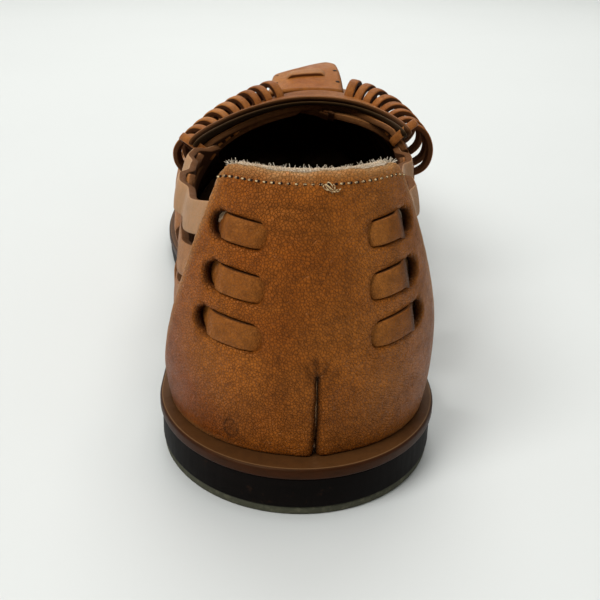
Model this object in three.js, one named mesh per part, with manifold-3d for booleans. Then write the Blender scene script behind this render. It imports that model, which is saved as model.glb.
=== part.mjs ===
// Huarache sandal, left shoe. Millimetres, +Z up, +Y to the toe, +X to the inner (medial) side.
// A woven leather upper on a flat layered sole: a one-piece heel counter with straps laced through
// its slots, crossed side straps, a throat band held by leather loops, and an open woven vamp.
import * as THREE from 'three';
import Module from 'manifold-3d';

// Main sizes
const SOLE_LENGTH = 290;
const HEEL_HALF = 34;        // half width of the sole at the heel
const HEEL_DEPTH = 40;       // where the rounded back of the heel meets the straight sides
const BALL_Y = 196;          // widest place of the forefoot, before the toe curve
const TOE_X = 9;             // the toe's point lies to the inner side
const PIVOT_Y = 236;         // the end of the ridge, where the toe box begins
const HEEL_SHARE = 0.18;     // share of the outline that is heel
const SIDE_SHARE = 0.66;     // share of the outline before the toe curve
const LEDGE_SIDE = 3.4;      // the sole's ledge outside the upper, at the sides
const LEDGE_BACK = 6.2;      // and behind the heel
const GAP = 0.3;             // between pieces that touch
const WALL = 2.1;            // leather of the straps
const COUNTER = 2.2;         // leather of the heel counter
const WOVEN = 4.2;           // build-up of two crossed straps on the last
const TREAD = 2;             // rubber tread layer
const WELT = 2.5;            // top leather layer of the sole
const HEEL_STACK = 12;       // sole thickness at the heel
const BALL_STACK = 9;        // sole thickness at the ball
const SPRING_Y = 200;        // the toe starts to lift here
const SPRING = 9;            // toe spring at the tip
const ARCH = 1.4;            // hollow under the waist

// Half widths of the sole: outer (lateral) and inner (medial) side
const OUTER_SIDE = [
  { y: 40, x: 34 },
  { y: 98, x: 33.5 },
  { y: 194, x: 46.5 },
];
const INNER_SIDE = [
  { y: 40, x: 34 },
  { y: 108, x: 30.5 },
  { y: 196, x: 50 },
];

// The last along its ridge: height of the crest, how far the wall leans out, the belly's fullness,
// the crown's fullness on the outer and inner side, and the ridge's place to the inner side
const LAST = [
  { y: 0, crest: 104, lean: 0.24, belly: 0.34, outer: 0.52, inner: 0.52, ridge: 0 },
  { y: 40, crest: 104, lean: 0.32, belly: 0.34, outer: 0.54, inner: 0.54, ridge: 0 },
  { y: 75, crest: 92, lean: 0.42, belly: 0.36, outer: 0.90, inner: 1.00, ridge: 1 },
  { y: 105, crest: 71, lean: 0.42, belly: 0.42, outer: 1.10, inner: 2.00, ridge: 3 },
  { y: 125, crest: 60.5, lean: 0.38, belly: 0.44, outer: 0.90, inner: 2.15, ridge: 5 },
  { y: 143, crest: 57, lean: 0.32, belly: 0.48, outer: 0.80, inner: 1.78, ridge: 6 },
  { y: 178, crest: 58, lean: 0.24, belly: 0.50, outer: 0.78, inner: 1.05, ridge: 6 },
  { y: 204, crest: 50, lean: 0.20, belly: 0.54, outer: 0.80, inner: 0.80, ridge: 7 },
  { y: 236, crest: 42, lean: 0.16, belly: 0.56, outer: 0.74, inner: 0.74, ridge: 7 },
  { y: 290, crest: 42, lean: 0.14, belly: 0.60, outer: 0.78, inner: 0.78, ridge: 7 },
];

const wasm = await Module();
wasm.setup();
const { Manifold, Mesh } = wasm;

const clamp = THREE.MathUtils.clamp;
const mix = THREE.MathUtils.lerp;
const ease = (t) => t * t * (3 - 2 * t);
const step = (a, b, v) => ease(clamp((v - a) / (b - a), 0, 1));

// Smooth reading of one column of a table of stations
function read(rows, key, y) {
  const last = rows.length - 1;
  if (y <= rows[0].y) return rows[0][key];
  if (y >= rows[last].y) return rows[last][key];
  const i = rows.findIndex((row, k) => k < last && y < rows[k + 1].y);
  const slope = (k) => {
    const a = rows[Math.max(k - 1, 0)];
    const b = rows[Math.min(k + 1, last)];
    return (b[key] - a[key]) / (b.y - a.y);
  };
  const span = rows[i + 1].y - rows[i].y;
  const t = (y - rows[i].y) / span;
  const start = rows[i][key] * (2 * t ** 3 - 3 * t ** 2 + 1);
  const end = rows[i + 1][key] * (3 * t ** 2 - 2 * t ** 3);
  const bend = slope(i) * (t ** 3 - 2 * t ** 2 + t) + slope(i + 1) * (t ** 3 - t ** 2);
  return start + end + bend * span;
}

function sideWidth(rows, y) {
  let x = rows[0].x;
  for (let i = 1; i < rows.length; i += 1) {
    if (y >= rows[i - 1].y) x = mix(rows[i - 1].x, rows[i].x, step(rows[i - 1].y, rows[i].y, y));
  }
  return x;
}

// Outline of the sole in plan, side -1 outer and +1 inner, share 0 at the back to 1 at the toe
function flatEdge(side, share, inset, back) {
  if (share < HEEL_SHARE) {
    const a = (share / HEEL_SHARE) * Math.PI / 2;
    const depth = HEEL_DEPTH - back;
    return [side * (HEEL_HALF - inset) * Math.sin(a), HEEL_DEPTH - depth * Math.cos(a)];
  }
  const rows = side < 0 ? OUTER_SIDE : INNER_SIDE;
  if (share < SIDE_SHARE) {
    const y = mix(HEEL_DEPTH, BALL_Y, (share - HEEL_SHARE) / (SIDE_SHARE - HEEL_SHARE));
    return [side * (sideWidth(rows, y) - inset), y];
  }
  const t = clamp((share - SIDE_SHARE) / (1 - SIDE_SHARE), 0, 1) * Math.PI / 2;
  const ball = side * (rows[rows.length - 1].x - inset);
  const x = TOE_X + (ball - TOE_X) * Math.max(Math.cos(t), 0) ** (2 / 2.3);
  const y = BALL_Y + (SOLE_LENGTH - inset - BALL_Y) * Math.sin(t) ** (2 / 2.1);
  return [x, y];
}

// The toe swings a little to the inner side
function swing(x, y) {
  const amount = step(90, 190, y) * (1 - clamp((y - 190) / (SOLE_LENGTH - 190), 0, 1));
  return [x, y + 0.12 * x * amount];
}

function shareAt(y) {
  return HEEL_SHARE + (SIDE_SHARE - HEEL_SHARE) * (y - HEEL_DEPTH) / (BALL_Y - HEEL_DEPTH);
}

function lift(y) {
  const toe = clamp((y - SPRING_Y) / (SOLE_LENGTH - SPRING_Y), 0, 1);
  return SPRING * toe * toe + ARCH * step(72, 118, y) * (1 - step(118, 166, y));
}

function stack(y) {
  return mix(HEEL_STACK, BALL_STACK, step(70, 185, y));
}

// The last: w runs from -1 at the outer feather edge over 0 at the ridge to +1 at the inner edge
function last(share, w) {
  const side = w < 0 ? -1 : 1;
  const t = 1 - Math.abs(w);
  const [fx, fy] = flatEdge(side, share, LEDGE_SIDE + 4.6, LEDGE_BACK + 4.6);
  const yc = clamp(fy, HEEL_DEPTH, PIVOT_Y);
  const crest = read(LAST, 'crest', yc);
  const lean = read(LAST, 'lean', fy);
  const belly = read(LAST, 'belly', fy);
  const crown = read(LAST, side < 0 ? 'outer' : 'inner', fy);
  const ridge = read(LAST, 'ridge', yc);
  const u = 1 - t;
  const reach = u ** 3 + 3 * u * u * t * (1 + lean) + 3 * u * t * t * crown;
  const climb = 3 * u * u * t * belly + 3 * u * t * t + t ** 3;
  const cx = ridge * Math.min(1, climb);
  const seat = lift(fy) + stack(fy) + GAP;
  const top = crest + lift(yc);
  const [x, y] = swing(cx + (fx - cx) * reach, yc + (fy - yc) * reach);
  return new THREE.Vector3(x, y, seat + (top - seat) * climb);
}

function lastSlopes(share, w) {
  const e = 0.002;
  const s0 = clamp(share - e, 0, 1);
  const s1 = clamp(share + e, 0, 1);
  const w0 = w <= 0 && w > -e ? 0 : w - e;
  const w1 = w > 0 || w <= -e ? w + e : w;
  const wa = clamp(w0 === w1 ? w - e : w0, -1, 1);
  const wb = clamp(w1, -1, 1);
  const along = last(s1, w).sub(last(s0, w)).divideScalar(s1 - s0);
  const over = last(share, wb).sub(last(share, wa)).divideScalar(wb - wa);
  return { along, over };
}

// Direction straight out of the last
function outward(share, w) {
  if (share < 0.004) {
    const a = lastSlopes(0.004, Math.abs(w));
    const n = a.along.clone().cross(a.over).normalize();
    n.x = 0;
    return n.y > 0 ? n.negate().normalize() : n.normalize();
  }
  const { along, over } = lastSlopes(share, w);
  const n = along.cross(over).normalize();
  const p = last(share, w);
  const middle = new THREE.Vector3(0, clamp(p.y, HEEL_DEPTH, PIVOT_Y), 26);
  return n.dot(p.sub(middle)) < 0 ? n.negate() : n;
}

// Past the middle line of the heel or toe, a place is on the other side
function fold(share, w) {
  const safe = clamp(w, -1, 1);
  if (share < 0) return [-share, -safe];
  if (share > 1) return [2 - share, -safe];
  return [share, safe];
}

function onLast(share, w, off) {
  const [s, v] = fold(share, w);
  return last(s, v).addScaledVector(outward(s, v), off);
}

// ---- closed solids ----

function solidFrom(points, faces) {
  const vertProperties = new Float32Array(points.flatMap((p) => [p.x, p.y, p.z]));
  const make = (tris) => new Manifold(new Mesh({
    numProp: 3,
    vertProperties,
    triVerts: new Uint32Array(tris.flat()),
  }));
  const solid = make(faces);
  return solid.volume() > 0 ? solid : make(faces.map(([a, b, c]) => [a, c, b]));
}

// A run of rings with the same number of corners, closed at both ends
function loft(rings) {
  const n = rings[0].length;
  const points = rings.flat();
  const faces = [];
  for (let r = 0; r + 1 < rings.length; r += 1) {
    for (let i = 0; i < n; i += 1) {
      const a = r * n + i;
      const b = r * n + ((i + 1) % n);
      faces.push([a, b, b + n], [a, b + n, a + n]);
    }
  }
  const end = (rings.length - 1) * n;
  for (let i = 1; i + 1 < n; i += 1) {
    faces.push([0, i + 1, i], [end, end + i, end + i + 1]);
  }
  return solidFrom(points, faces);
}

// A sheet with a thickness: inner and outer are functions of two shares, 0 to 1
function sheet(across, up, inner, outer) {
  const points = [];
  for (const face of [inner, outer]) {
    for (let j = 0; j <= up; j += 1) {
      for (let i = 0; i <= across; i += 1) points.push(face(i / across, j / up));
    }
  }
  const row = across + 1;
  const half = row * (up + 1);
  const faces = [];
  for (let j = 0; j < up; j += 1) {
    for (let i = 0; i < across; i += 1) {
      const a = j * row + i;
      faces.push([a, a + row + 1, a + 1], [a, a + row, a + row + 1]);
      faces.push([half + a, half + a + 1, half + a + row + 1]);
      faces.push([half + a, half + a + row + 1, half + a + row]);
    }
  }
  const rim = [];
  for (let i = 0; i < across; i += 1) rim.push(i);
  for (let j = 0; j < up; j += 1) rim.push(j * row + across);
  for (let i = across; i > 0; i -= 1) rim.push(up * row + i);
  for (let j = up; j > 0; j -= 1) rim.push(j * row);
  rim.forEach((a, k) => {
    const b = rim[(k + 1) % rim.length];
    faces.push([a, b, half + b], [a, half + b, half + a]);
  });
  return solidFrom(points, faces);
}

// A strap laid on the last: stops hold share, w and off, the height of its lower face
function strap(stops, width, thick, grow = 0) {
  const rings = stops.map((stop, i) => {
    const before = stops[Math.max(i - 1, 0)];
    const after = stops[Math.min(i + 1, stops.length - 1)];
    const way = onLast(after.share, after.w, 0).sub(onLast(before.share, before.w, 0)).normalize();
    const out = outward(stop.share, stop.w);
    const wide = (stop.width ?? width) / 2 + grow;
    const across = out.clone().cross(way).normalize();
    const corner = (sign, off) => {
      const { along, over } = lastSlopes(stop.share, stop.w);
      const aa = along.dot(along);
      const oo = over.dot(over);
      const ao = along.dot(over);
      const da = across.dot(along);
      const dover = across.dot(over);
      const det = aa * oo - ao * ao;
      const share = stop.share + sign * wide * (da * oo - dover * ao) / det;
      const w = stop.w + sign * wide * (dover * aa - da * ao) / det;
      return onLast(share, w, off);
    };
    return [
      corner(-1, stop.off - grow),
      corner(1, stop.off - grow),
      corner(1, stop.off + thick + grow),
      corner(-1, stop.off + thick + grow),
    ];
  });
  if (grow > 0) {
    const first = rings[0];
    const second = rings[1];
    first.forEach((p, k) => p.addScaledVector(p.clone().sub(second[k]).normalize(), grow));
  }
  return loft(rings);
}

function join(solids) {
  return solids.reduce((a, b) => a.add(b));
}

// Points evenly along a list of stops
function along(stops, pace) {
  const out = [];
  for (let i = 0; i + 1 < stops.length; i += 1) {
    const a = stops[i];
    const b = stops[i + 1];
    const gap = onLast(a.share, a.w, 0).distanceTo(onLast(b.share, b.w, 0));
    const n = Math.max(1, Math.round(gap / pace));
    for (let k = 0; k < n; k += 1) {
      out.push({
        share: mix(a.share, b.share, k / n),
        w: mix(a.w, b.w, k / n),
        off: mix(a.off, b.off, ease(k / n)),
      });
    }
  }
  out.push(stops[stops.length - 1]);
  return out;
}

// ---- sole ----

const SOLE_STEPS = 30;

function slab(low, high, inset, back) {
  const points = [];
  const faces = [];
  const shares = Array.from({ length: SOLE_STEPS + 1 }, (_, i) => {
    const s = i / SOLE_STEPS;
    return mix(s, ease(s), 0.35);
  });
  const loop = [
    ...shares.map((s) => flatEdge(-1, s, inset, back)),
    ...shares.slice(1, -1).reverse().map((s) => flatEdge(1, s, inset, back)),
  ].map(([x, y]) => swing(x, y));
  for (const level of [low, high]) {
    for (const [x, y] of loop) points.push(new THREE.Vector3(x, y, level(y)));
  }
  const n = loop.length;
  for (let i = 0; i < n; i += 1) {
    const b = (i + 1) % n;
    faces.push([i, b, n + b], [i, n + b, n + i]);
  }
  const other = (i) => (i === 0 || i === SOLE_STEPS ? i : n - i);
  for (let i = 0; i < SOLE_STEPS; i += 1) {
    const a = i;
    const b = i + 1;
    const c = other(i + 1);
    const d = other(i);
    if (b !== c) faces.push([a, c, b], [n + a, n + b, n + c]);
    if (a !== d) faces.push([a, d, c], [n + a, n + c, n + d]);
  }
  return solidFrom(points, faces);
}

const under = (y) => lift(y);
const treadTop = (y) => lift(y) + TREAD;
const midTop = (y) => lift(y) + stack(y) - WELT - GAP;
const weltTop = (y) => lift(y) + stack(y);

const treadLayer = slab(under, treadTop, 0.9, 0.9);
const midsole = slab((y) => treadTop(y) + GAP, midTop, 0.6, 0.6);
const welt = slab((y) => midTop(y) + GAP, weltTop, 0, 0);
const insole = slab(
  (y) => weltTop(y) + GAP,
  (y) => weltTop(y) + GAP + 2,
  LEDGE_SIDE + 4.6 + 1.2,
  LEDGE_BACK + 4.6 + 1.2,
);

// ---- heel counter and the straps laced through it ----

// Rows of laced straps: height of the row up the last, and where the strap shows outside,
// measured from the counter's own back seam, which lies a little to the inner side
const ROWS = [
  { t: 0.411, from: 0.0480, to: 0.089, tilt: 0.008, wide: 5.2 },
  { t: 0.324, from: 0.0465, to: 0.089, tilt: 0.010, wide: 5.4 },
  { t: 0.241, from: 0.0470, to: 0.094, tilt: 0.012, wide: 5.5 },
];
const SEAM = 0.0115;
const SIDE_WIDE = 7.6;       // the laced straps widen again in front of the counter
const INSIDE = 0.25;
const COUNTER_OFF = INSIDE + WALL + 0.6;
const TAB_OFF = 3.3;
const DENT_OFF = TAB_OFF - GAP - COUNTER;

const rowT = (row, share) => row.t + row.tilt * (share - row.from) / (row.to - row.from);

const COUNTER_TOP = 0.522;

// Front edge of the counter, sloping down and forward, with a rounded top corner
function counterFront(t) {
  const slope = mix(0.205, 0.100, clamp(t / COUNTER_TOP, 0, 1) ** 0.66);
  const corner = clamp((t - COUNTER_TOP + 0.036) / 0.036, 0, 1);
  return slope - 0.014 * (1 - Math.sqrt(1 - corner * corner));
}

// The counter is pressed in behind each laced strap
function counterDent(share, t) {
  let dent = 0;
  for (const row of ROWS) {
    const inRow = 1 - step(0.020, 0.038, Math.abs(t - rowT(row, share)));
    const inTab = step(row.from - 0.004, row.from + 0.012, share) * (1 - step(row.to - 0.012, row.to + 0.004, share));
    dent = Math.max(dent, inRow * inTab);
  }
  return dent;
}

function counterPoint(a, b, thick) {
  const t = mix(0.004, COUNTER_TOP, b);
  const reach = (a * 2 - 1) * counterFront(t);
  const off = mix(COUNTER_OFF, DENT_OFF, counterDent(Math.abs(reach), t));
  const side = reach + SEAM < 0 ? -1 : 1;
  return onLast(Math.abs(reach + SEAM), side * (1 - t), off + thick);
}

let counter = sheet(
  32,
  14,
  (a, b) => counterPoint(a, b, 0),
  (a, b) => counterPoint(a, b, COUNTER),
);

function lacedStops(side, row) {
  const at = (share, off) => ({ share: share + side * SEAM, w: side * (1 - rowT(row, share)), off });
  return [
    at(row.from - 0.022, INSIDE),
    at(row.from - 0.012, INSIDE),
    at(row.from, mix(INSIDE, TAB_OFF, 0.55)),
    at(row.from + 0.009, TAB_OFF),
    at((row.from + row.to) / 2, TAB_OFF),
    at(row.to - 0.009, TAB_OFF),
    at(row.to, mix(INSIDE, TAB_OFF, 0.55)),
    at(row.to + 0.011, INSIDE),
  ];
}

// Side straps forward of the laced rows: y along the sole, t up the last, off for over and under
const FORWARD = [
  [{ y: 44, t: 0.385 }, { y: 70, t: 0.40 }, { y: 98, t: 0.46 }, { y: 122, t: 0.56 }],
  [{ y: 50, t: 0.295 }, { y: 84, t: 0.28 }, { y: 118, t: 0.38 }, { y: 146, t: 0.52 }],
  [{ y: 52, t: 0.205 }, { y: 74, t: 0.13 }, { y: 96, t: 0.0 }],
];
// Crossing straps of the sides, from the sole up
const CROSSING = [
  [{ y: 58, t: 0.0 }, { y: 84, t: 0.19 }, { y: 104, t: 0.36 }, { y: 124, t: 0.53 }],
  [{ y: 128, t: 0.0 }, { y: 104, t: 0.19 }, { y: 84, t: 0.33 }, { y: 62, t: 0.40 }],
  [{ y: 90, t: 0.0 }, { y: 114, t: 0.18 }, { y: 134, t: 0.36 }, { y: 148, t: 0.54 }],
  [{ y: 152, t: 0.0 }, { y: 134, t: 0.18 }, { y: 116, t: 0.36 }, { y: 102, t: 0.48 }],
];

const place = (side, off) => (spot) => ({ share: shareAt(spot.y), w: side * (1 - spot.t), off });

const straps = [];
for (const side of [-1, 1]) {
  ROWS.forEach((row, i) => {
    const laced = lacedStops(side, row);
    const forward = along([laced[laced.length - 1], ...FORWARD[i].map(place(side, INSIDE))], 14);
    const stops = [...laced, ...forward.slice(1).map((stop) => ({ ...stop, width: SIDE_WIDE }))];
    straps.push(strap(stops, row.wide, WALL));
    counter = counter.subtract(strap(laced, row.wide, WALL, GAP));
  });
  CROSSING.forEach((spots, i) => {
    const off = i % 2 === 0 ? INSIDE + 1.6 : INSIDE + 0.4;
    straps.push(strap(along(spots.map(place(side, off)), 14), 9, WALL));
  });
}

// ---- vamp: two families of straps crossing over the forefoot ----

// Place on the last over a point of the plan, before the toe's swing
function over(x, y) {
  const yc = clamp(y, HEEL_DEPTH, PIVOT_Y);
  const side = x < read(LAST, 'ridge', yc) ? -1 : 1;
  let low = shareAt(90);
  let high = 1;
  if (y <= PIVOT_Y && y < BALL_Y) {
    low = shareAt(y);
    high = low;
  }
  const ridge = read(LAST, 'ridge', yc);
  for (let k = 0; k < 26 && high > low; k += 1) {
    const middle = (low + high) / 2;
    const [fx, fy] = flatEdge(side, middle, LEDGE_SIDE + 4.6, LEDGE_BACK + 4.6);
    const turn = y > PIVOT_Y
      ? (fy - PIVOT_Y) * Math.abs(x - ridge) - (y - PIVOT_Y) * Math.abs(fx - ridge)
      : fy - y;
    if (turn < 0) low = middle;
    else high = middle;
  }
  const [fx, fy] = flatEdge(side, high, LEDGE_SIDE + 4.6, LEDGE_BACK + 4.6);
  const full = Math.hypot(fx - ridge, Math.max(fy - PIVOT_Y, 0));
  const reach = Math.hypot(x - ridge, Math.max(y - PIVOT_Y, 0)) / full;
  const lean = read(LAST, 'lean', fy);
  const crown = read(LAST, side < 0 ? 'outer' : 'inner', fy);
  let a = 0.3;
  let b = 1;
  for (let k = 0; k < 24; k += 1) {
    const t = (a + b) / 2;
    const u = 1 - t;
    if (u ** 3 + 3 * u * u * t * (1 + lean) + 3 * u * t * t * crown > reach) a = t;
    else b = t;
  }
  return { share: high, w: side * (1 - a), reach };
}

const SLANT = 0.72;
const VAMP_PACE = 12;

// One strap of the vamp, crossing the ridge at y and running forward to the given side
function vampStops(y, way, off) {
  const spots = [];
  for (let x = -60; x <= 60; x += VAMP_PACE) {
    const spot = over(x, y + way * SLANT * (x - 5));
    if (spot.reach < 0.9) spots.push({ ...spot, off });
  }
  if (spots.length < 4) return null;
  const foot = (end, near) => {
    const drift = (end.share - near.share) * 0.9;
    return [0.5, 0].map((k) => ({
      share: clamp(end.share + drift * (1 - k), 0.3, 1),
      w: Math.sign(end.w) * (1 - (1 - Math.abs(end.w)) * k),
      off,
    }));
  };
  const n = spots.length - 1;
  return [...foot(spots[0], spots[1]).reverse(), ...spots, ...foot(spots[n], spots[n - 1])];
}

for (let y = 160; y < 300; y += 18) {
  for (const way of [-1, 1]) {
    const stops = vampStops(y, way, way < 0 ? INSIDE + 0.1 : INSIDE + 1.6);
    if (stops) straps.push(strap(stops, 13, WALL));
  }
}

// A strap round one side of the toe, that closes the gap between the last crossings
function toeStrap(side, place) {
  const stops = [];
  for (let i = 0; i <= 8; i += 1) {
    stops.push({ share: mix(0.84, 1, i / 8), w: side * place, off: INSIDE + 0.8 });
  }
  return strap(stops, 10, WALL);
}
for (const place of [0.85, 0.60]) {
  straps.push(toeStrap(-1, place), toeStrap(1, place));
}

// Low margin that all straps join, between the insole and the foot of the straps
function margin(side) {
  const stops = [];
  for (let i = 0; i <= 18; i += 1) stops.push(i / 18);
  return loft(stops.map((s) => [
    onLast(s, side * 0.999, 0.25),
    onLast(s, side * 0.94, 0.25),
    onLast(s, side * 0.94, 2.1),
    onLast(s, side * 0.999, 2.1),
  ]));
}
straps.push(margin(-1), margin(1));

// ---- throat band, plug and loops ----

// Rear edge of the band across the instep, from the outer to the inner end
const BAND = [
  { w: -0.455, y: 110 },
  { w: -0.24, y: 130 },
  { w: 0.0, y: 143 },
  { w: 0.19, y: 137 },
  { w: 0.355, y: 115 },
];
const BAND_WIDE = 15;
const BAND_THICK = 3;
const BAND_OFF = WOVEN + 0.4;

function bandY(w) {
  return read(BAND.map((spot) => ({ y: spot.w, at: spot.y })), 'at', w);
}

let band = sheet(
  16,
  3,
  (a, b) => bandPoint(a, b, 0),
  (a, b) => bandPoint(a, b, BAND_THICK),
);

function bandPoint(a, b, thick) {
  const w = mix(BAND[0].w, BAND[4].w, a);
  const end = clamp(Math.abs(a * 2 - 1) * 9 - 8, 0, 1);
  const wide = BAND_WIDE * (0.35 + 0.65 * Math.sqrt(1 - end * end));
  const y = bandY(w) + BAND_WIDE / 2 + wide * (b - 0.5);
  return onLast(shareAt(y), w, BAND_OFF + thick);
}

// The vamp's rear edge, under the band, that the loops' lower ends join
const rail = [];
for (let k = 0; k <= 14; k += 1) {
  const w = mix(BAND[0].w - 0.02, BAND[4].w + 0.02, k / 14);
  rail.push({ share: shareAt(bandY(w) + BAND_WIDE - 4.5), w, off: INSIDE + 0.8 });
}
straps.push(strap(rail, 10, WALL));

// The plug rises to its front edge, and leans: its inner side stands higher
const PLUG = { from: 159.5, to: 185, rear: 11.5, front: 9.5, thick: 2.6, x: 5, rise: 4.5, lean: 2.2 };

function plugPoint(a, b, thick) {
  const y = mix(PLUG.from, PLUG.to, b);
  const half = mix(PLUG.rear, PLUG.front, b) * (1 - 0.25 * clamp(b * 8 - 7, 0, 1) ** 2);
  const spot = over(PLUG.x + half * (a * 2 - 1), y);
  const lean = PLUG.lean * b * (a * 2 - 1);
  return onLast(spot.share, spot.w, BAND_OFF + 0.6 + PLUG.rise * b + lean + thick);
}

const plug = sheet(8, 8, (a, b) => plugPoint(a, b, 0), (a, b) => plugPoint(a, b, PLUG.thick));

const LOOP_WIDE = 2.7;
const LOOP_THICK = 1.9;
const LOOPS = {
  outer: { count: 9, first: 0.105, last: 0.425 },
  inner: { count: 8, first: 0.110, last: 0.325 },
};
const LOOP_REACH = 11;
const LOOP_SHAPE = [
  { run: 0.00, off: 1.8 },
  { run: 0.02, off: 8.2 },
  { run: 0.18, off: 11.0 },
  { run: 0.52, off: 11.6 },
  { run: 0.86, off: 8.8 },
  { run: 1.00, off: 1.6 },
];

// A place moved over the last by a vector lying on it
function move(spot, vector) {
  const { along: a, over: o } = lastSlopes(spot.share, spot.w);
  const aa = a.dot(a);
  const oo = o.dot(o);
  const ao = a.dot(o);
  const va = vector.dot(a);
  const vo = vector.dot(o);
  const det = aa * oo - ao * ao;
  return {
    share: spot.share + (va * oo - vo * ao) / det,
    w: spot.w + (vo * aa - va * ao) / det,
  };
}

// A loop: up through the band's slot, over in an arch square to the band, down into the vamp
function loopRings(w, grow) {
  const edge = (v) => ({ share: shareAt(bandY(v) + BAND_WIDE * 0.72), w: v });
  const e0 = edge(w - 0.01);
  const e1 = edge(w + 0.01);
  const side = onLast(e1.share, e1.w, 0).sub(onLast(e0.share, e0.w, 0)).normalize();
  let spot = edge(w);
  const track = [spot];
  for (let k = 0; k < 6; k += 1) {
    const ahead = outward(spot.share, spot.w).cross(side).normalize();
    spot = move(spot, ahead.multiplyScalar(LOOP_REACH / 6));
    track.push(spot);
  }
  const spots = LOOP_SHAPE.map(({ run, off }) => {
    const k = Math.min(Math.floor(run * 6), 5);
    const share = mix(track[k].share, track[k + 1].share, run * 6 - k);
    return onLast(share, mix(track[k].w, track[k + 1].w, run * 6 - k), off);
  });
  return spots.map((p, i) => {
    const a = spots[Math.max(i - 1, 0)];
    const b = spots[Math.min(i + 1, spots.length - 1)];
    const way = b.clone().sub(a).normalize();
    const across = side.clone().addScaledVector(way, -side.dot(way)).normalize();
    const out = way.clone().cross(across).normalize();
    const half = LOOP_WIDE / 2 + grow;
    const deep = LOOP_THICK / 2 + grow;
    const corner = (s, d) => p.clone().addScaledVector(across, s * half).addScaledVector(out, d * deep);
    return [corner(-1, -1), corner(1, -1), corner(1, 1), corner(-1, 1)];
  });
}

for (const side of [-1, 1]) {
  const { count, first, last: end } = side < 0 ? LOOPS.outer : LOOPS.inner;
  for (let i = 0; i < count; i += 1) {
    const w = side * mix(first, end, i / (count - 1));
    straps.push(loft(loopRings(w, 0)));
    band = band.subtract(loft(loopRings(w, GAP)));
  }
}

// Everything above is trimmed level a gap above the sole's ledge
const ledge = slab(() => -30, (y) => weltTop(y) + GAP, -6, -6);
counter = counter.subtract(ledge);

// The joined straps as one body, with the pinholes between crossings closed
const upper = join(straps).subtract(ledge).decompose().reduce((a, b) => (a.volume() > b.volume() ? a : b));

// ---- nodes ----

const LEATHER = { color: 0xa0622f, roughness: 0.6 };
const DARK = { color: 0x2a1c16, roughness: 0.6 };

function node(name, solid, look) {
  const mesh = solid.getMesh();
  const geometry = new THREE.BufferGeometry();
  geometry.setAttribute('position', new THREE.BufferAttribute(new Float32Array(mesh.vertProperties), 3));
  geometry.setIndex(new THREE.BufferAttribute(new Uint32Array(mesh.triVerts), 1));
  const part = new THREE.Mesh(geometry, new THREE.MeshStandardMaterial(look));
  part.name = name;
  return part;
}

const sandal = new THREE.Group();
sandal.name = 'huarache_sandal';
sandal.add(
  node('tread', treadLayer, { color: 0x3a3b36, roughness: 0.8 }),
  node('midsole', midsole, DARK),
  node('welt', welt, { color: 0x6b3a22, roughness: 0.5 }),
  node('insole', insole, { color: 0x8a6a48, roughness: 0.8 }),
  node('heel_counter', counter, LEATHER),
  node('upper', upper, { color: 0xb0713c, roughness: 0.6 }),
  node('throat_band', band, { color: 0x9a5a2c, roughness: 0.6 }),
  node('plug', plug, { color: 0xb87a44, roughness: 0.6 }),
);

// The row's origin is the middle of the floor that the sandal covers
const box = new THREE.Box3().setFromObject(sandal);
const middle = box.getCenter(new THREE.Vector3());
for (const piece of sandal.children) piece.geometry.translate(-middle.x, -middle.y, -box.min.z);

export default sandal;
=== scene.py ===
"""Huarache sandal, left shoe: the leather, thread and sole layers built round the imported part.

Sizes in the tables are millimetres on the shoe's own last; finished meshes are in metres.
"""

import math

import bmesh
import bpy
import numpy as np
from bpy.props import FloatProperty, FloatVectorProperty
from mathutils import Matrix, Vector
from mathutils.geometry import delaunay_2d_cdt
from mathutils.kdtree import KDTree


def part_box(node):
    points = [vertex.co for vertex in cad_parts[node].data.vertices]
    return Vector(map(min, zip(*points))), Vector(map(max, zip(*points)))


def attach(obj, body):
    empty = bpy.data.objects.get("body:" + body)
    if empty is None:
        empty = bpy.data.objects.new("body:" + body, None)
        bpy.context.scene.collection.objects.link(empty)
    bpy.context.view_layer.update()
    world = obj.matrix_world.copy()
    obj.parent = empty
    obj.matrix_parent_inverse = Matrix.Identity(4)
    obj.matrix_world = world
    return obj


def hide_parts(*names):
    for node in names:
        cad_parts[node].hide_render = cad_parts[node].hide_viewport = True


bl_info = {
    "name": "Huarache Sandal",
    "version": (1, 0, 0),
    "blender": (4, 5, 0),
    "location": "View3D > Sidebar > Sandal",
    "description": "Builds the woven leather sandal round its packed part",
    "category": "Object",
}

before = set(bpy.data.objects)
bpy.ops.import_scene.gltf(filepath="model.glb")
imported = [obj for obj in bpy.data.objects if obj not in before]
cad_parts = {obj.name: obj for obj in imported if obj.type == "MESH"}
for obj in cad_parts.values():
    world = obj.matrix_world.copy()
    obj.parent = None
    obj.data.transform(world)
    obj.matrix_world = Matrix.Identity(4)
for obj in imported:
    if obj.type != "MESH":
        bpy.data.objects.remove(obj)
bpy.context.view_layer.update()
WELT_LOW, WELT_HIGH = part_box("welt")
METRE = 0.001

# Where the camera looks, in degrees: to the inner side, down, and its lean
AIM = {"heading": 2.0, "dip": 22.3, "roll": 1.5}

# ---- the shoe's own shape ----

SOLE_LENGTH = 1000 * (WELT_HIGH[1] - WELT_LOW[1])
HEEL_HALF = 34
HEEL_DEPTH = 40
BALL_Y = 196
TOE_X = 9
PIVOT_Y = 236
HEEL_SHARE = 0.18
SIDE_SHARE = 0.66
LEDGE_SIDE = 3.4
LEDGE_BACK = 6.2
INNER_BUILD = 4.6
GAP = 0.3
WELT = 2.5
TREAD = 2.0
HEEL_STACK = 12
BALL_STACK = 9
SPRING_Y = 200
SPRING = 9
ARCH = 1.4

OUTER_SIDE = [{"y": 40, "x": 34}, {"y": 98, "x": 33.5}, {"y": 194, "x": 46.5}]
INNER_SIDE = [{"y": 40, "x": 34}, {"y": 108, "x": 30.5}, {"y": 196, "x": 50}]

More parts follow.
